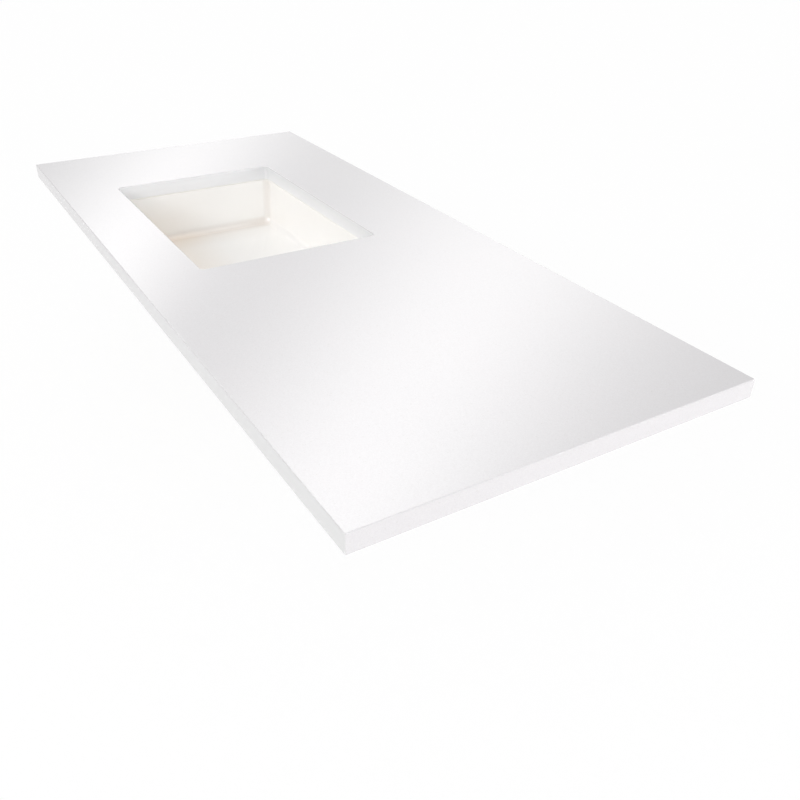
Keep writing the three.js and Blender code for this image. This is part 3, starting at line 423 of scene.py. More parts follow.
slab_profile = np.concatenate([
    arc((-SLAB_UNDER_EASE, SLAB_UNDER_EASE), SLAB_UNDER_EASE, -90, 0, 3),
    arc((-SLAB_EASE, SLAB_THICKNESS - SLAB_EASE), SLAB_EASE, 0, 90, 8),
])
cutout_profile = np.concatenate([
    arc((SLAB_EASE, SLAB_THICKNESS - SLAB_EASE), SLAB_EASE, 90, 180, 8),
    arc((SLAB_UNDER_EASE, SLAB_UNDER_EASE), SLAB_UNDER_EASE, 180, 270, 3),
])
slab_loops = [slab_ring(SLAB_HALF, SLAB_CORNER, (0, SLAB_CENTRE_Y), *row) for row in slab_profile]
slab_loops += [slab_ring(CUTOUT_HALF, CUTOUT_CORNER, CUTOUT_CENTRE, *row) for row in cutout_profile]
slab = solid("slab", np.stack(slab_loops))
# The loop's last four points are left out, which leaves one small flat on each blind hole.
hole_loop = rounded_loop(HOLE_RADIUS, HOLE_RADIUS, HOLE_RADIUS, 8, 1)[:HOLE_POINTS]
hole_loops = np.stack([at_height(hole_loop, z) for z in (-1, HOLE_DEPTH)])
hole_pattern = solid("hole", hole_loops, wrap=False)
holes = [
    moved_copy(hole_pattern, "hole_cut", (CUTOUT_CENTRE[0] + x, CUTOUT_CENTRE[1] + y, 0, turn))
    for x, y, turn in FIXINGS
]
discard(hole_pattern)
fit_piece(worked(slab, cuts=holes), "countertop_slab", stone)


# Sealant: a bead of white silicone squeezed flat between the basin's rim and the slab. Its outer
# edge is wavy where it was pressed out and left; inside, a finger wiped it flush with the wall.
MOUTH_HALF = (221.5, 151.5)
BOWL_CORNER = 12.0
BOWL_STEPS = 10
RIM_TOP, RIM_WIDTH, LIP_RADIUS = -2.0, 28.0, 3.0
BEAD_SETBACK, BEAD_BULGE = 3.0, 0.4
BEAD_WAVE, BEAD_WAVE_COUNTS = 0.5, (17, 29)
BEAD_WIPED = [(0.15, -3.0), (-0.15, -2.2), (-0.45, -1.4), (-0.72, -0.6), (-0.95, 0.0)]


def bowl_loop(outset, z):
    """The basin's mouth as a rounded rectangle, moved out by outset, at the height z."""
    radius = BOWL_CORNER + max(outset, 0)
    half_x, half_y = MOUTH_HALF[0] + outset, MOUTH_HALF[1] + outset
    loop = rounded_loop(half_x, half_y, radius, BOWL_STEPS, BOWL_STEPS)
    return at_height(loop + CUTOUT_CENTRE, z)


silicone, silicone_shader, silicone_place = new_finish("silicone", IOR=1.41, Roughness=0.35)
milk = silicone_place.noise(60.0).rise(0.3, 0.7)
feed(
    silicone_shader,
    Base_Color=milk.blend(paint(252, 252, 250), paint(248, 248, 245)),
    Normal=bump(silicone_place.noise(140.0), 0.4, 0.0003),
)

under_lip = np.radians([90, 70, 50, 30])
lip_z = RIM_TOP - LIP_RADIUS * (1 - np.sin(under_lip))
lip_contact = np.stack([LIP_RADIUS * (1 - np.cos(under_lip)), lip_z], 1)
outer_z = np.array([0.0, -0.5, -1.0, -1.5, RIM_TOP])
outer_bulge = BEAD_BULGE * (1 - (outer_z - RIM_TOP / 2) ** 2)
pressed_out = np.stack([RIM_WIDTH - BEAD_SETBACK + outer_bulge, outer_z], 1)
bead_loops = []
for outset, z in np.concatenate([lip_contact, BEAD_WIPED, pressed_out]):
    loop = bowl_loop(outset, z)
    if outset > RIM_WIDTH / 2:
        turn = np.linspace(0, 2 * math.pi, len(loop), endpoint=False)
        wave = BEAD_WAVE * sum(np.sin(count * turn) for count in BEAD_WAVE_COUNTS) / 2
        away = loop[:, :2] - CUTOUT_CENTRE
        loop[:, :2] += away / np.linalg.norm(away, axis=1)[:, None] * wave[:, None]
    bead_loops.append(loop)
fit_piece(solid("sealant_bead", np.stack(bead_loops)), "rim_sealant", silicone)


# Basin bowl: vitreous china cast in a plaster mould, with a turned-out rim, a floor that falls to
# the drain, a drain boss and an overflow way behind the front wall. Its glaze is warm white, with
# painted shade: darker in the corners and along the foot of the walls, and warmer and darker
# towards the front.
WALL_DRAFT, WALL_THICKNESS, FOOT_RADIUS, FOOT_Z = 4.0, 10.0, 12.0, -90.0
RIM_UNDER, RIM_EDGE, RIM_ROOT, RIM_EASE = -14.0, 2.5, 5.0, 0.8
FLOOR_END, FLOOR_UNDER, SEAT_Z = -98.0, -110.0, -101.5
SEAT_RADIUS, SEAT_MOUTH_RADIUS, BORE_RADIUS = 34.0, 37.0, 24.0
SEAT_LEAD, SEAT_LEAD_RISE = 6, 0.2
BOSS_RADIUS, BOSS_FOOT_RADIUS, BOSS_UNDER = 38.0, 35.0, -137.5
BOSS_LEAD, BOSS_LEAD_RISE = 9, 0.4
DRAIN_EASES = (0, 2, 1.5, 0.6, 0.8, 2, 7, 0)
SLOT_HALF, SLOT_Z, SLOT_FLARE = (16.0, 5.0), -28.0, 2.5
SLOT_START_Y, SLOT_FACE_Y = -140.0, -150.0
WAY_HALF, WAY_TOP = (20.0, 4.5), -23.0
WAY_Y, WAY_UNDER, PORT_Z, BEND_RADIUS = -166.0, -104.5, -118.5, 30.0
CASE_TOP, CASE_END_Y, CASE_REACH, CASE_HALF_WIDTH = -20.0, -25.5, 10.5, 27.0
CASE_SPREAD, CASE_DOME, CASE_UNDER = 36.0, 8.0, 3.0
CASE_BASE, CASE_BASE_FALL, CASE_FALL_LENGTH = -5.0, 4.0, 55.0
INSIDE_REACH, HAIR = (2, 4), 0.01
INSIDE_Z, FLOOR_TONE_Z, BARE_FOOT_Z = (-0.0995, -0.0990), (-0.088, -0.080), (-0.1372, -0.1366)
CORNER_CREASE, FOOT_CREASE, CREASE_ALONG = (0.006, 0.0135), (0.005, 0.0155), (0.02, 0.09)
END_SHADE, END_WARM_SHADE, END_WARM_SHADE_ALONG = (0.012, 0.075), (0.012, 0.06), (0.13, 0.26)
FRONT_WARM_SHADE, FRONT_WARM_SHADE_Z = (0.06, 0.17), (-0.05, -0.012)


def eased(points, radius, steps=4, wrap=True):
    """An outline whose corners are worn round: each becomes a parabola that leaves the side before
    the corner, and meets the side after it, at that radius or at 0.45 of a short side."""
    points = np.array(points, float)
    before, after = np.roll(points, 1, 0) - points, np.roll(points, -1, 0) - points
    if not wrap:
        before[0] = after[-1] = 0
    cuts = []
    for side in (before, after):
        length = np.maximum(np.linalg.norm(side, axis=1), 1e-9)
        reach = np.minimum(np.broadcast_to(radius, len(points)), 0.45 * length)
        cuts.append(side * (reach / length)[:, None])
    share = np.linspace(0, 1, steps + 1)[None, :, None]
    start, end = (points + cuts[0])[:, None], (points + cuts[1])[:, None]
    curve = (1 - share) ** 2 * start + 2 * share * (1 - share) * points[:, None] + share**2 * end
    return curve.reshape(-1, 2)


def circle_loop(radius, z):
    """A circle about the cut-out's centre whose points answer those of the bowl's loops."""
    count = 8 * BOWL_STEPS
    angle = (np.arange(count) + BOWL_STEPS / 2) / count * 2 * math.pi
    loop = radius * np.stack([np.cos(angle), np.sin(angle)], 1)
    return at_height(loop + CUTOUT_CENTRE, z)


def floor_loops(first, last, rows=10):
    """Loops that lead straight from the first loop to the last, without the last itself."""
    share = np.linspace(0, 1, rows + 1)[:-1, None, None]
    return list(first * (1 - share) + last * share)


def slot_outline(half_x, half_z, corner_steps=8):
    """A slot's flat loop. Its ends are half circles, less a hair that keeps their points apart."""
    return rounded_loop(half_x, half_z, half_z - HAIR, corner_steps, 1)


def upright(loop, y, z):
    """A flat loop stood up square to Y at y, with its middle at the height z."""
    return np.column_stack([loop[:, 0], np.full(len(loop), y), loop[:, 1] + z])


def square_to(line):
    """The direction square to a line at each of its points: its own unit direction, turned a
    quarter to the right."""
    along = np.gradient(line, axis=0)
    along /= np.linalg.norm(along, axis=1)[:, None]
    return np.stack([along[:, 1], -along[:, 0]], 1)


def swept(name, sections, route):
    """Loops of (across, outwards) carried along a route of (y, z): across is X, and outwards is
    square to the route, away from the bowl."""
    out = square_to(route)
    place = route[:, None] + sections[:, :, 1:] * out[:, None]
    loops = np.concatenate([sections[:, :, :1], place], 2)
    return solid(name, loops, centre=(*CUTOUT_CENTRE, 0), wrap=False)


def overflow_route(top, end_y, rows):
    """Down outside the front wall, round a parabola's bend, and under the floor to the drain."""
    corner = np.array([WAY_Y, WAY_UNDER])
    run = np.array([0, PORT_Z]) - corner
    end = corner + run * (end_y - WAY_Y) / -WAY_Y
    bend_start = corner + (0, BEND_RADIUS)
    bend_end = corner + run / np.linalg.norm(run) * BEND_RADIUS
    share = np.linspace(0, 1, 11)[:, None]
    bend = (1 - share) ** 2 * bend_start + 2 * share * (1 - share) * corner + share**2 * bend_end
    down = np.linspace((WAY_Y, top), bend_start, rows, endpoint=False)
    back = np.linspace(bend_end, end, rows + 1)[1:]
    return np.concatenate([down, bend, back])


def overflow_casing():
    """A soft ridge: its height falls off to both sides as e to the power of minus the sixth power
    of the share of the half width, and its top end is a quarter circle. Its base sinks into the
    wall on the way down."""
    route = overflow_route(CASE_TOP, CASE_END_Y, 24)
    across = np.linspace(-CASE_SPREAD, CASE_SPREAD, 37)
    gone = CASE_TOP - route[:, 1]
    dome = np.sqrt(1 - (1 - np.clip(gone / CASE_DOME, 0.02, 1)) ** 2)
    base = CASE_BASE - CASE_BASE_FALL * np.clip(gone / CASE_FALL_LENGTH, 0, 1)
    ridge = np.exp(-((across / CASE_HALF_WIDTH) ** 6))
    height = base[:, None] + ((CASE_REACH - base) * dome)[:, None] * ridge
    under = np.repeat(base[:, None] - CASE_UNDER, len(across), 1)
    top = np.stack([np.broadcast_to(across, height.shape), height], -1)
    bottom = np.stack([np.broadcast_to(across[::-1], height.shape), under], -1)
    return swept("casing", np.concatenate([top, bottom], 1), route)


china, china_shader, china_place = new_finish(
    "glazed china", IOR=1.5, Coat_Roughness=0.03, Coat_IOR=1.5
)
x, y, z = china_place.parts()
inside = within(china_place, MOUTH_HALF, *INSIDE_REACH) * z.rise(*INSIDE_Z)
wall_lean = z * (-WALL_DRAFT / FOOT_Z)
from_end_wall, from_long_wall = [
    size * MM - (axis - middle * MM).math("ABSOLUTE") + wall_lean
    for axis, middle, size in zip((x, y), CUTOUT_CENTRE.tolist(), MOUTH_HALF)
]
from_front_wall = y - (CUTOUT_CENTRE[1] - MOUTH_HALF[1]) * MM
# Painted shade: the upright corners and the foot of the end walls are painted darker, where shade
# falls in the creases.
up_corner = 1 - (from_end_wall + from_long_wall).rise(*CORNER_CREASE)
end_foot = 1 - (from_end_wall * 0.6 + z - FOOT_Z * MM).rise(*FOOT_CREASE)
foot_depth = 0.9 - from_long_wall.rise(*CREASE_ALONG) * 0.35
crease_shade = inside * (up_corner * 0.45).math("MAXIMUM", end_foot * foot_depth)
on_floor = 1 - z.rise(*FLOOR_TONE_Z)
# Painted shade: the floor is painted greyer near the end walls. Walls and floor are painted warmer
# and darker near the front wall and the end walls' feet, where shade falls.
end_shade = on_floor * (1 - from_end_wall.rise(*END_SHADE)) * 0.3
front_depth = on_floor * 0.43 + (1 - z.rise(*FRONT_WARM_SHADE_Z)) * 0.20
front_warm_shade = (1 - from_front_wall.rise(*FRONT_WARM_SHADE)) * front_depth
end_warm_shade = on_floor * (1 - from_end_wall.rise(*END_WARM_SHADE))
end_warm_shade = end_warm_shade * (1 - from_front_wall.rise(*END_WARM_SHADE_ALONG)) * 0.38
bare = 1 - z.rise(*BARE_FOOT_Z)
peel = china_place.noise(70.0)
pool = china_place.noise(9.0).rise(0.35, 0.65)
pinhole = 1 - china_place.cells(110.0, "Distance").rise(0.02, 0.06)
glaze_colour = pool.blend(paint(251, 250, 248), paint(250, 249, 247))
glaze_colour = end_shade.blend(glaze_colour, paint(228, 224, 220))
glaze_colour = crease_shade.blend(glaze_colour, paint(229, 222, 215))
glaze_colour = (front_warm_shade + end_warm_shade).blend(glaze_colour, paint(240, 226, 210))
china_colour = inside.blend(paint(236, 230, 219), glaze_colour)
china_colour = (pinhole * (1 - inside) * 0.5).blend(china_colour, paint(196, 184, 166))
feed(
    china_shader,
    Base_Color=bare.blend(china_colour, paint(226, 217, 202)),
    Roughness=(1 - inside) * 0.16 + pool * 0.03 + bare * 0.45 + 0.07,
    Coat_Weight=inside * 0.6,
    Normal=bump(peel * 0.6 + pool * 0.4, 0.18, 0.0006),
)

drain_corners = [
    (SEAT_MOUTH_RADIUS + SEAT_LEAD, FLOOR_END + SEAT_LEAD_RISE), (SEAT_MOUTH_RADIUS, FLOOR_END),
    (SEAT_RADIUS, SEAT_Z), (BORE_RADIUS, SEAT_Z), (BORE_RADIUS, BOSS_UNDER),
    (BOSS_FOOT_RADIUS, BOSS_UNDER), (BOSS_RADIUS, FLOOR_UNDER),
    (BOSS_RADIUS + BOSS_LEAD, FLOOR_UNDER + BOSS_LEAD_RISE),
]
drain_section = eased(drain_corners, DRAIN_EASES, wrap=False)[4:-4]
foot_middle = (-WALL_DRAFT - FOOT_RADIUS, FOOT_Z + FOOT_RADIUS)
root_middle = (WALL_THICKNESS + RIM_ROOT, RIM_UNDER - RIM_ROOT)
wall_sections = np.concatenate([
    arc(foot_middle, FOOT_RADIUS + WALL_THICKNESS, -90, 0, 12),
    arc(root_middle, RIM_ROOT, 180, 90),
    arc((RIM_WIDTH - RIM_EDGE, RIM_UNDER + RIM_EDGE), RIM_EDGE, -90, 0, 5),
    arc((RIM_WIDTH - RIM_EASE, RIM_TOP - RIM_EASE), RIM_EASE, 0, 90, 3),
    arc((LIP_RADIUS, RIM_TOP - LIP_RADIUS), LIP_RADIUS, 90, 180, 8),
    arc(foot_middle, FOOT_RADIUS, 0, -90, 12),
])
wall_loops = [bowl_loop(outset, z) for outset, z in wall_sections]
drain_loops = [circle_loop(radius, z) for radius, z in drain_section]
floor_above = floor_loops(wall_loops[-1], drain_loops[0])
floor_below = floor_loops(drain_loops[-1], wall_loops[0])
bowl = solid("bowl", np.stack(wall_loops[:-1] + floor_above + drain_loops[:-1] + floor_below))
way_loop = slot_outline(*WAY_HALF)
way_route = overflow_route(WAY_TOP, 0, 6)
way = swept("way", np.broadcast_to(way_loop, (len(way_route), *way_loop.shape)), way_route)
slot_rows = [(SLOT_START_Y, SLOT_FLARE)]
for turn in np.radians([0, 15, 30, 45, 60, 75, 90]):
    share = math.sin(turn)
    slot_rows.append((SLOT_FACE_Y - SLOT_FLARE * share, SLOT_FLARE * (1 - share)))
slot_rows.append((WAY_Y, 0))
slot_loops = [
    upright(slot_outline(SLOT_HALF[0] + grow, SLOT_HALF[1] + grow, 10), slot_y, SLOT_Z)
    for slot_y, grow in slot_rows
]
slot = solid("slot", np.stack(slot_loops), centre=(*CUTOUT_CENTRE, 0), wrap=False)
fit_piece(worked(bowl, [overflow_casing()], [way, slot]), "basin_bowl", china)


# Fixings, six of each: a knurled brass insert glued in the slab, a threaded zinc-plated stud, a
# cranked steel strap whose toe lifts the rim, a washer and a cast wing nut.
INSERT_RADIUS, INSERT_BORE, INSERT_TOP = 5.0, 3.3, 13.0
INSERT_CHAMFER, INSERT_EASE = 0.6, 0.3
KNURL_DEPTH, KNURL_RIDGES, KNURL_LEAN = 0.22, 8, 1.6
STUD_RADIUS, STUD_LOW, STUD_TOP = 3.0, -35.3, 12.7
STUD_PITCH, STUD_THREAD, STUD_CHAMFER = 1.0, 0.42, 0.7
THREAD_ROWS, THREAD_FLANK, THREAD_CREST = 8, 1.3, 0.15
CLIP_HALF_WIDTH, CLIP_HALF_THICKNESS, CLIP_EDGE = 10.0, 1.0, 0.35
CLIP_TOE, CLIP_TOE_RADIUS, CLIP_FLAT = -20.0, 5.0, (-14, 10)
CLIP_MIDDLE_Z, CLIP_BEND_X, CLIP_BEND_RADIUS, CLIP_HEEL_TOP = -15.3, 11.0, 3.0, -0.3
CLIP_SLOT_HALF, CLIP_SLOT_Z = (6.0, 3.3), (-19, -12)
WASHER_RADIUS, WASHER_LOW, WASHER_TOP = 8.0, -18.2, -16.6
NUT_TOP, NUT_LOW, NUT_RADIUS, NUT_LOW_RADIUS = -18.5, -26.5, 5.5, 4.6
WING_ROOT, WING_SETBACK, WING_TIP, WING_REACH, WING_HALF = 4.0, 2.4, -31.5, 14.0, 1.2
WING_SHOULDER, WING_EASES = 0.6, (0.5, 1.0, 6.0, 3.0, 9.0)
WING_ROWS = [(-1, 0.82), (-0.8, 0.92), (-0.4, 0.99), (0.4, 0.99), (0.8, 0.92), (1, 0.82)]


def turned_field(name, radii, heights, centre=(0, 0, 0), wrap=True):
    """A skin about Z whose radius is given for each height and each angle round the axis."""
    radii = np.asarray(radii)
    angle = np.linspace(0, 2 * math.pi, radii.shape[1], endpoint=False)
    z = np.broadcast_to(np.asarray(heights)[:, None], radii.shape)
    loops = np.stack([radii * np.cos(angle), radii * np.sin(angle), z], -1)
    return solid(name, loops, centre, wrap)


def plain_radii(section, columns):
    """The radii of a section of (radius, z), the same all the way round."""
    return np.repeat(section[:, :1], columns, 1)


def turned(name, section, centre=(0, 0, 0), columns=64, wrap=True):
    """A section of (radius, z) turned about Z."""
    return turned_field(name, plain_radii(section, columns), section[:, 1], centre, wrap)


def thread(radius, low, high, pitch, depth, columns):
    """Heights and radii of a right-hand thread: the depth rises and falls in straight flanks with
    the height less the share of a turn, has narrow flats at crest and root, and fades at both
    ends."""
    heights = np.arange(low, high, pitch / THREAD_ROWS)
    turn_share = np.arange(columns) / columns
    phase = (heights[:, None] / pitch - turn_share) % 1
    groove = np.clip(THREAD_FLANK * np.abs(2 * phase - 1) - THREAD_CREST, 0, 1)
    fade = np.clip((heights - low) / pitch, 0, 1) * np.clip((high - heights) / pitch, 0, 1)
    return heights, radius - depth * groove * fade[:, None]


def metal(name, colour, worn_colour, roughness, grain_scale):
    """A bare or plated metal: cloudy colour, uneven polish and a very fine grain."""
    material, shader, place = new_finish(name, Metallic=1.0)
    cloud = place.noise(90.0, 3.0).rise(0.3, 0.7)
    feed(
        shader,
        Base_Color=cloud.blend(paint(*colour), paint(*worn_colour)),
        Roughness=cloud * roughness * 0.4 + roughness * 0.8,
        Normal=bump(place.noise(grain_scale), 0.25, 0.00005),
    )
    return material


def insert():
    """A tube whose middle rows are knurled: two crossing sets of ridges, each the size of a sine of
    the angle and the height, of which the smaller counts."""
    columns = 48
    near_corners = [
        (INSERT_BORE, 0), (INSERT_RADIUS - INSERT_EASE, 0), (INSERT_RADIUS, INSERT_CHAMFER),
    ]
    far_corners = [
        (INSERT_RADIUS, INSERT_TOP - INSERT_CHAMFER), (INSERT_RADIUS - INSERT_CHAMFER, INSERT_TOP),
        (INSERT_BORE, INSERT_TOP),
    ]
    near = eased(near_corners, INSERT_EASE, 3, wrap=False)
    far = eased(far_corners, INSERT_EASE, 3, wrap=False)
    heights = np.linspace(INSERT_CHAMFER, INSERT_TOP - INSERT_CHAMFER, 40)
    turn = KNURL_RIDGES * np.linspace(0, 2 * math.pi, columns, endpoint=False)
    lean = heights[:, None] * KNURL_LEAN
    knurl = KNURL_DEPTH * np.minimum(np.abs(np.sin(turn + lean)), np.abs(np.sin(turn - lean)))
    radii = [plain_radii(near, columns), INSERT_RADIUS - knurl, plain_radii(far, columns)]
    all_heights = np.concatenate([near[:, 1], heights, far[:, 1]])
    return turned_field("insert", np.concatenate(radii), all_heights)


def stud():
    """A thread that is chamfered to its root at both ends."""
    columns = 24
    low, high = STUD_LOW + STUD_CHAMFER, STUD_TOP - STUD_CHAMFER
    heights, radii = thread(STUD_RADIUS, low, high, STUD_PITCH, STUD_THREAD, columns)
    end = np.full((1, columns), STUD_RADIUS - STUD_CHAMFER)
    all_heights = np.concatenate([[STUD_LOW], heights, [STUD_TOP]])
    return turned_field("stud", np.concatenate([end, radii, end]), all_heights, wrap=False)


def clip_strap():
    """The strap's middle line runs flat from the toe, round the bend and up to the slab; a flat
    rounded section follows it, and the toe narrows by the height of its corner circles."""
    toe = CLIP_TOE + CLIP_TOE_RADIUS * (1 - np.cos(np.linspace(0, math.pi / 2, 9)))
    flat = np.concatenate([toe, np.linspace(*CLIP_FLAT, 9)])
    bend_middle = (CLIP_BEND_X, CLIP_MIDDLE_Z + CLIP_BEND_RADIUS)
    bend = arc(bend_middle, CLIP_BEND_RADIUS, -90, 0, 8)
    rise = np.linspace(bend[-1], (bend[-1][0], CLIP_HEEL_TOP), 5)[1:]
    line = np.concatenate([at_height(flat[:, None], CLIP_MIDDLE_Z), bend, rise])
    out = square_to(line)
    short = np.clip(CLIP_TOE_RADIUS - (line[:, 0] - CLIP_TOE), 0, CLIP_TOE_RADIUS)
    short[line[:, 1] > CLIP_MIDDLE_Z + HAIR] = 0
    narrow = CLIP_TOE_RADIUS - np.sqrt(CLIP_TOE_RADIUS**2 - short**2)
    section = rounded_loop(CLIP_HALF_WIDTH, CLIP_HALF_THICKNESS, CLIP_EDGE, 4, 2)
    across = section[:, 0] * (1 - narrow / CLIP_HALF_WIDTH)[:, None]
    deep = section[:, 1] * np.ones((len(line), 1))
    sides = line[:, :1] + out[:, :1] * deep, line[:, 1:] + out[:, 1:] * deep
    return solid("clip", np.stack([sides[0], across, sides[1]], -1), wrap=False)


def wing(side):
    """One wing: its outline of two parabolas and a round tip, drawn in towards both faces, and
    thicker at the root by half."""
    corners = [
        (WING_ROOT, NUT_TOP - WING_SETBACK), (WING_ROOT, NUT_LOW + WING_SETBACK),
        (NUT_RADIUS, WING_TIP), (WING_REACH, WING_TIP), (WING_REACH, NUT_LOW + WING_SHOULDER),
    ]
    outline = eased(corners, WING_EASES, 8)
    middle = outline.mean(0)
    loops = []
    for level, share in WING_ROWS:
        points = middle + (outline - middle) * share
        thick = WING_HALF * (1.5 - 0.5 * (points[:, 0] - WING_ROOT) / (WING_REACH - WING_ROOT))
        loops.append(np.stack([points[:, 0] * side, level * thick, points[:, 1]], 1))
    return solid("wing", np.stack(loops), wrap=False)


zinc = metal("zinc plate", (196, 200, 204), (176, 180, 182), 0.34, 1500.0)
brass = metal("brass", (204, 172, 104), (186, 152, 84), 0.28, 1200.0)

clip_slot = slot_outline(*CLIP_SLOT_HALF)
clip_slot = solid("clip_slot", np.stack([at_height(clip_slot, z) for z in CLIP_SLOT_Z]), wrap=False)
washer_section = [
    (INSERT_BORE, WASHER_LOW), (WASHER_RADIUS, WASHER_LOW),
    (WASHER_RADIUS, WASHER_TOP), (INSERT_BORE, WASHER_TOP),
]
hub_section = [
    (INSERT_BORE, NUT_LOW), (NUT_LOW_RADIUS, NUT_LOW),
    (NUT_RADIUS, NUT_TOP), (INSERT_BORE, NUT_TOP),
]
hub = turned("nut", eased(hub_section, 0.6), columns=40)
patterns = [
    (insert(), "threaded_insert", "brass", brass),
    (stud(), "clip_stud", "zinc_steel", zinc),
    (worked(clip_strap(), cuts=[clip_slot]), "basin_clip", "zinc_steel", zinc),
    (turned("washer", eased(washer_section, 0.4), columns=48), "clip_washer", "zinc_steel", zinc),
    (worked(hub, [wing(1), wing(-1)]), "wing_nut", "zinc_steel", zinc),
]
for number, (x, y, degrees) in enumerate(FIXINGS, 1):
    place = (CUTOUT_CENTRE[0] + x, CUTOUT_CENTRE[1] + y, 0, degrees)
    for pattern, node, slot_name, finish in patterns:
        fixed = moved_copy(pattern, f"{pattern.name}_{number}", place)
        fit_piece(fixed, f"{node}_{number}", finish)
discard(*(row[0] for row in patterns))


# Drain body: one brass casting, chromed, with a domed flange on a rubber seal, overflow slots in
# its threaded tube and a three-armed carrier for the stopper's cartridge.
WASTE = (*CUTOUT_CENTRE, SEAT_Z)
BODY_RADIUS, BODY_BORE, BODY_LOW, BODY_CHAMFER = 21.0, 18.6, -80.0, 0.8
NECK_RADIUS, NECK_LOW = 23.2, -5.5
BODY_THREAD_LOW, BODY_THREAD_TOP, BODY_PITCH, BODY_THREAD = BODY_LOW + 1.0, NECK_LOW - 0.2, 2.2, 0.8
FLANGE_RADIUS, FLANGE_UNDER, FLANGE_EDGE, FLANGE_DOME = 32.0, 1.5, 2.5, 1.4
THROAT_RADIUS, THROAT_LOW = 22.5, 0.3
SOCKET_RADIUS, SOCKET_TOP, SHOULDER_TOP, TAIL_BORE = 17.8, -66.7, -63.7, 14.675
CARRIER_RADIUS, CARRIER_BORE, CARRIER_TOP, CARRIER_LOW = 9.0, 6.3, -32.0, -46.0
ARM_HALF, ARM_ROUND, ARM_Z, ARM_REACH = (1.5, 4.5), 0.9, -39, (7.6, 19.9)
PORT_HALF, PORT_LEVEL, PORT_REACH = (11.0, 5.0), -17.0, 30

chrome, chrome_shader, chrome_place = new_finish("chrome", Metallic=1.0)
haze = chrome_place.noise(45.0, 3.0).rise(0.45, 0.7)
spot = 1 - chrome_place.cells(160.0, "Distance").rise(0.12, 0.2)
feed(
    chrome_shader,
    Base_Color=haze.blend(paint(203, 205, 208), paint(193, 195, 198)),
    Roughness=haze * 0.05 + spot * 0.06 + 0.05,
    Normal=bump(chrome_place.noise(30.0), 0.03, 0.0005),
)


def threaded(name, section, radius, low, high, pitch, depth, columns=72):
    """A section of (radius, z) turned about Z, and closed by a thread of that radius that runs up
    from the section's last point to its first."""
    heights, radii = thread(radius, low, high, pitch, depth, columns)
    all_radii = np.concatenate([plain_radii(section, columns), radii])
    return turned_field(name, all_radii, np.concatenate([section[:, 1], heights]), WASTE)


dome = [
    (
        FLANGE_RADIUS - (FLANGE_RADIUS - THROAT_RADIUS) * share,
        FLANGE_EDGE + FLANGE_DOME * math.sin(share * math.pi / 2),
    )
    for share in np.linspace(0, 1, 7)
]
body_corners = [
    (BODY_RADIUS, NECK_LOW), (NECK_RADIUS, NECK_LOW), (NECK_RADIUS, FLANGE_UNDER),
    (FLANGE_RADIUS, FLANGE_UNDER), *dome, (BODY_BORE, THROAT_LOW), (BODY_BORE, SHOULDER_TOP),
    (TAIL_BORE, SHOULDER_TOP), (TAIL_BORE, SOCKET_TOP), (SOCKET_RADIUS, SOCKET_TOP),
    (SOCKET_RADIUS, BODY_LOW), (BODY_RADIUS - BODY_CHAMFER, BODY_LOW),
    (BODY_RADIUS, BODY_LOW + BODY_CHAMFER),
]
body_section = eased(body_corners, 0.4, 3, wrap=False)
drain = threaded(
    "drain", body_section, BODY_RADIUS, BODY_THREAD_LOW, BODY_THREAD_TOP, BODY_PITCH, BODY_THREAD
)
carrier_section = [
    (CARRIER_BORE, CARRIER_LOW), (CARRIER_RADIUS, CARRIER_LOW),
    (CARRIER_RADIUS, CARRIER_TOP), (CARRIER_BORE, CARRIER_TOP),
]
carrier = turned("carrier", eased(carrier_section, 0.6), WASTE, 48)
arm_loop = rounded_loop(*ARM_HALF, ARM_ROUND, 3, 1)
arm_loops = [
    np.column_stack([np.full(len(arm_loop), x), arm_loop[:, 0], arm_loop[:, 1] + ARM_Z])
    for x in np.linspace(*ARM_REACH, 4)
]
arm_pattern = solid("arm", np.stack(arm_loops), wrap=False)
arms = [moved_copy(arm_pattern, "arm_turned", (*WASTE, turn)) for turn in (0, 120, 240)]
discard(arm_pattern)
port_loops = [upright(slot_outline(*PORT_HALF), y, PORT_LEVEL) for y in (-PORT_REACH, PORT_REACH)]
ports = solid("ports", np.stack(port_loops), WASTE, wrap=False)
fit_piece(worked(drain, [carrier, *arms], [ports]), "drain_body", chrome)


# Rubber, nylon and brass on the drain body, from the top: the seal under the flange, the tapered
# gasket, the slippery washer and the hexagon lock nut that pulls the waste tight.
BODY_CLEAR = 21.3
SEAL_BORE, SEAL_RADIUS = 23.5, 31.1
GASKET_TOP, BOSS_FACE, GASKET_SHOULDER, GASKET_CONE, GASKET_LOW = -33.0, -36.0, -39.5, -41.5, -49.0
GASKET_TOP_RADIUS, GASKET_RADIUS, GASKET_CONE_RADIUS, GASKET_LOW_RADIUS = 23.7, 31.0, 30.2, 27.5
SLIP_RADIUS, SLIP_LOW = 28.5, -50.2
NUT_FACE_LOW, NUT_HALF_FLATS, NUT_FACE_RADIUS, NUT_CHAMFER = -59.2, 27.5, 27.9, 2.2

rubber, rubber_shader, rubber_place = new_finish("rubber", IOR=1.52)
bloom = rubber_place.noise(40.0, 4.0).rise(0.45, 0.75)
feed(
    rubber_shader,
    Base_Color=(bloom * 0.6).blend(paint(40, 40, 41), paint(58, 58, 58)),
    Roughness=bloom * 0.12 + 0.55,
    Normal=bump(rubber_place.noise(900.0), 0.3, 0.0001),
)
nylon, nylon_shader, nylon_place = new_finish("nylon", IOR=1.53)
nylon_cloud = nylon_place.noise(60.0).rise(0.3, 0.7)
feed(
    nylon_shader,
    Base_Color=nylon_cloud.blend(paint(231, 227, 215), paint(224, 219, 205)),
    Roughness=nylon_place.noise(30.0) * 0.15 + 0.36,
    Normal=bump(nylon_place.noise(1100.0), 0.2, 0.00005),
)


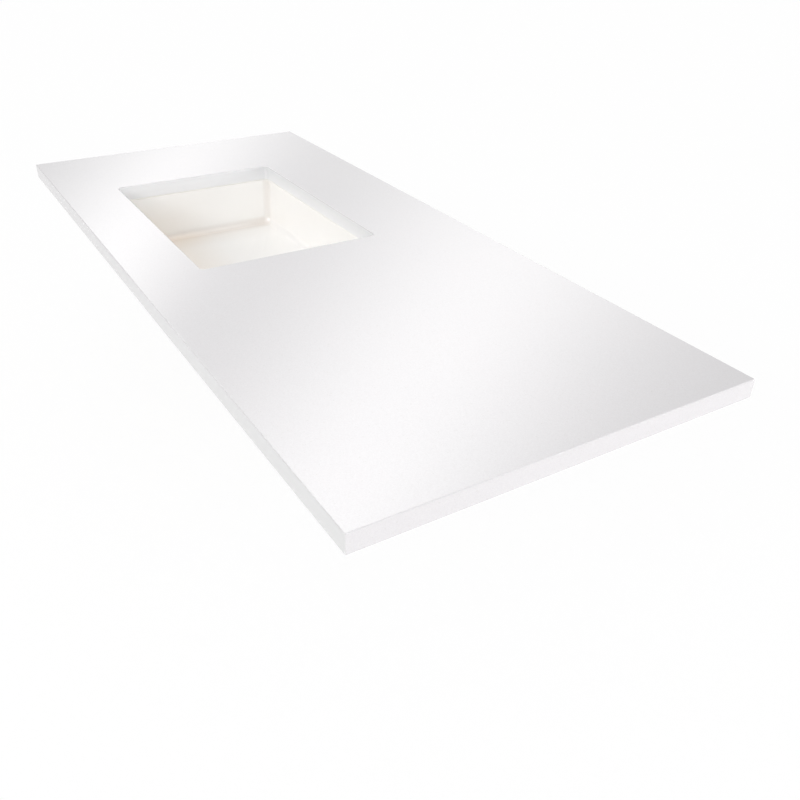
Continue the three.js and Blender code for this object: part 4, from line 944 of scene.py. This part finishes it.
def hexagon_nut():
    """The flats' distance over the cosine of the angle to the nearest flat, but no further out
    than a cone at each face, which chamfers the six corners. The end rows are the bore."""
    angle = np.linspace(0, 2 * math.pi, 144, endpoint=False)
    flats = NUT_HALF_FLATS / np.cos((angle % (math.pi / 3)) - math.pi / 6)
    heights = np.array([NUT_FACE_LOW, *np.linspace(NUT_FACE_LOW, SLIP_LOW, 15), SLIP_LOW])
    from_face = np.minimum(heights - NUT_FACE_LOW, SLIP_LOW - heights)
    cone = NUT_FACE_RADIUS + from_face * NUT_CHAMFER
    outer = np.minimum(flats, cone[:, None])
    outer[[0, -1]] = BODY_CLEAR
    return turned_field("nut", outer, heights, WASTE)


seal_section = [
    (SEAL_BORE, 0), (SEAL_RADIUS, 0), (SEAL_RADIUS, FLANGE_UNDER), (SEAL_BORE, FLANGE_UNDER),
]
flange_ring = turned("flange_ring", eased(seal_section, 0.5), WASTE, 72)
fit_piece(flange_ring, "flange_seal", rubber)
gasket_section = [
    (BODY_CLEAR, GASKET_LOW), (GASKET_LOW_RADIUS, GASKET_LOW), (GASKET_CONE_RADIUS, GASKET_CONE),
    (GASKET_RADIUS, GASKET_SHOULDER), (GASKET_RADIUS, BOSS_FACE), (GASKET_TOP_RADIUS, BOSS_FACE),
    (GASKET_TOP_RADIUS, GASKET_TOP), (BODY_CLEAR, GASKET_TOP),
]
gasket = turned("gasket", eased(gasket_section, 0.8), WASTE, 96)
fit_piece(gasket, "drain_gasket", rubber)
slip_section = [
    (BODY_CLEAR, SLIP_LOW), (SLIP_RADIUS, SLIP_LOW), (SLIP_RADIUS, GASKET_LOW),
    (BODY_CLEAR, GASKET_LOW),
]
slip_washer = turned("slip_washer", eased(slip_section, 0.3), WASTE, 96)
fit_piece(slip_washer, "friction_washer", nylon)
fit_piece(hexagon_nut(), "lock_nut", brass)


# Tailpiece: a thin drawn brass tube, chromed, with a threaded collar that screws up into the drain
# body against a rubber ring. Its plain end goes into a trap.
TAIL_RADIUS, TAIL_TOP, TAIL_LOW = 15.875, -68.7, -198.7
COLLAR_RADIUS, COLLAR_LOW, COLLAR_CHAMFER = 17.5, -79.7, 0.5
COLLAR_STEP, COLLAR_STEP_RISE = 0.6, 1.2
COLLAR_PITCH, COLLAR_THREAD, COLLAR_RUN_OUT = 1.4, 0.5, 0.7

tail_ring_section = [
    (TAIL_RADIUS, TAIL_TOP), (COLLAR_RADIUS, TAIL_TOP), (COLLAR_RADIUS, SOCKET_TOP),
    (TAIL_RADIUS, SOCKET_TOP),
]
tail_ring = turned("tail_ring", eased(tail_ring_section, 0.5), WASTE)
fit_piece(tail_ring, "tailpiece_seal", rubber)
tail_corners = [
    (COLLAR_RADIUS, TAIL_TOP - COLLAR_CHAMFER), (COLLAR_RADIUS - COLLAR_CHAMFER, TAIL_TOP),
    (TAIL_BORE, TAIL_TOP), (TAIL_BORE, TAIL_LOW), (TAIL_RADIUS, TAIL_LOW),
    (TAIL_RADIUS, COLLAR_LOW - COLLAR_STEP_RISE), (COLLAR_RADIUS - COLLAR_STEP, COLLAR_LOW),
    (COLLAR_RADIUS, COLLAR_LOW + COLLAR_CHAMFER),
]
tail_section = eased(tail_corners, 0.35, 3, wrap=False)
collar_low, collar_top = COLLAR_LOW + COLLAR_RUN_OUT, TAIL_TOP - COLLAR_RUN_OUT
tail = threaded(
    "tail_tube", tail_section, COLLAR_RADIUS, collar_low, collar_top, COLLAR_PITCH, COLLAR_THREAD
)
fit_piece(tail, "tailpiece", chrome)


# Cartridge: a turned brass housing with a flange, pressed in the carrier, closed below by a plug
# and holding the steel spring that lifts the stopper.
CARTRIDGE_RADIUS, CARTRIDGE_BORE, CARTRIDGE_NECK, CARTRIDGE_TOP = 6.0, 4.3, -22.2, -19.2
CARTRIDGE_FLANGE, CARTRIDGE_FLANGE_TOP, NOSE_RADIUS, NOSE_BORE = 8.2, -30.0, 5.15, 2.8
PLUG_RADIUS, PLUG_LOW_RADIUS, PLUG_TOP = 4.0, 3.2, -44.0
SPRING_RADIUS, WIRE_RADIUS, SPRING_LOW, SPRING_TOP, SPRING_ROWS = 3.25, 0.45, -43.25, -35.75, 181

cartridge_section = [
    (CARTRIDGE_BORE, CARRIER_LOW), (CARTRIDGE_RADIUS, CARRIER_LOW), (CARTRIDGE_RADIUS, CARRIER_TOP),
    (CARTRIDGE_FLANGE, CARRIER_TOP), (CARTRIDGE_FLANGE, CARTRIDGE_FLANGE_TOP),
    (CARTRIDGE_RADIUS, CARTRIDGE_FLANGE_TOP), (CARTRIDGE_RADIUS, CARTRIDGE_NECK),
    (NOSE_RADIUS, CARTRIDGE_TOP), (NOSE_BORE, CARTRIDGE_TOP), (NOSE_BORE, CARTRIDGE_NECK),
    (CARTRIDGE_BORE, CARTRIDGE_NECK),
]
cartridge = turned("cartridge", eased(cartridge_section, 0.3), WASTE, 48)
fit_piece(cartridge, "cartridge_housing", brass)
plug_section = [
    (PLUG_LOW_RADIUS, CARRIER_LOW), (PLUG_RADIUS, CARRIER_LOW), (PLUG_RADIUS, PLUG_TOP),
    (PLUG_LOW_RADIUS, PLUG_TOP),
]
plug = turned("plug", eased(plug_section, 0.25, wrap=False), WASTE, 40, wrap=False)
fit_piece(plug, "cartridge_plug", brass)


def spring_wire():
    """A circle carried round a helix: five turns of constant radius that rise evenly."""
    turn = np.linspace(0, 10 * math.pi, SPRING_ROWS)[:, None]
    rise = np.linspace(SPRING_LOW, SPRING_TOP, SPRING_ROWS)[:, None]
    around = np.linspace(0, 2 * math.pi, 10, endpoint=False)
    reach = SPRING_RADIUS + WIRE_RADIUS * np.cos(around)
    height = rise + WIRE_RADIUS * np.sin(around)
    loops = np.stack([reach * np.cos(turn), reach * np.sin(turn), height], -1)
    return solid("spring", loops, WASTE, wrap=False)


spring = spring_wire()
spring.data.materials.append(zinc)
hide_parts("cartridge_spring")
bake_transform(spring)


# Push stopper: a domed chromed cap with a rubber seal under it, screwed on a brass plunger that
# slides in the cartridge. All three rise together.
CAP_RADIUS, CAP_UNDER, CAP_EDGE_TOP, CAP_CROWN, CAP_BORE_TOP = 27.5, 4.2, 6.4, 2.6, 5.7
CAP_CHAMFER, CROWN_START = 0.8, 84
CAP_HUB, CAP_LEDGE, CAP_LEDGE_TOP, CAP_HUB_LOW = 8.0, 9.2, 1.2, -0.3
SEAL_CLEAR, SEAL_LOW_RADIUS, SEAL_LIP_RADIUS, SEAL_LIP_LOW = 8.3, 19.0, 21.9, 3.9
PLUNGER_RADIUS, PLUNGER_HEAD, PLUNGER_HEAD_TOP = 2.5, 4.0, -31.5
PLUNGER_LOW, PLUNGER_TOP = -35.0, 5.4

crown = [
    (CAP_RADIUS * math.cos(turn), CAP_EDGE_TOP + CAP_CROWN * math.sin(turn))
    for turn in np.radians(np.linspace(CROWN_START, 0, 15))
]
cap_section = [
    *crown, (CAP_RADIUS - CAP_CHAMFER, CAP_UNDER), (CAP_HUB, CAP_UNDER), (CAP_HUB, CAP_LEDGE_TOP),
    (CAP_LEDGE, CAP_LEDGE_TOP), (CAP_LEDGE, CAP_HUB_LOW), (NOSE_BORE, CAP_HUB_LOW),
    (NOSE_BORE, CAP_BORE_TOP),
]
cap = turned("cap", eased(cap_section, 0.35, wrap=False), WASTE, 96, wrap=False)
fit_piece(cap, "stopper_cap", chrome, "stopper")
cap_seal_section = [
    (SEAL_CLEAR, CAP_LEDGE_TOP), (SEAL_LOW_RADIUS, CAP_LEDGE_TOP), (SEAL_LIP_RADIUS, SEAL_LIP_LOW),
    (SEAL_LIP_RADIUS, CAP_UNDER), (SEAL_CLEAR, CAP_UNDER),
]
cap_seal = turned("cap_seal", eased(cap_seal_section, 0.3), WASTE, 72)
fit_piece(cap_seal, "stopper_seal", rubber, "stopper")
plunger_section = [
    (PLUNGER_HEAD, PLUNGER_LOW), (PLUNGER_HEAD, PLUNGER_HEAD_TOP),
    (PLUNGER_RADIUS, PLUNGER_HEAD_TOP), (PLUNGER_RADIUS, PLUNGER_TOP),
]
plunger = turned("plunger", eased(plunger_section, 0.3, wrap=False), WASTE, 40, wrap=False)
fit_piece(plunger, "stopper_plunger", brass, "stopper")
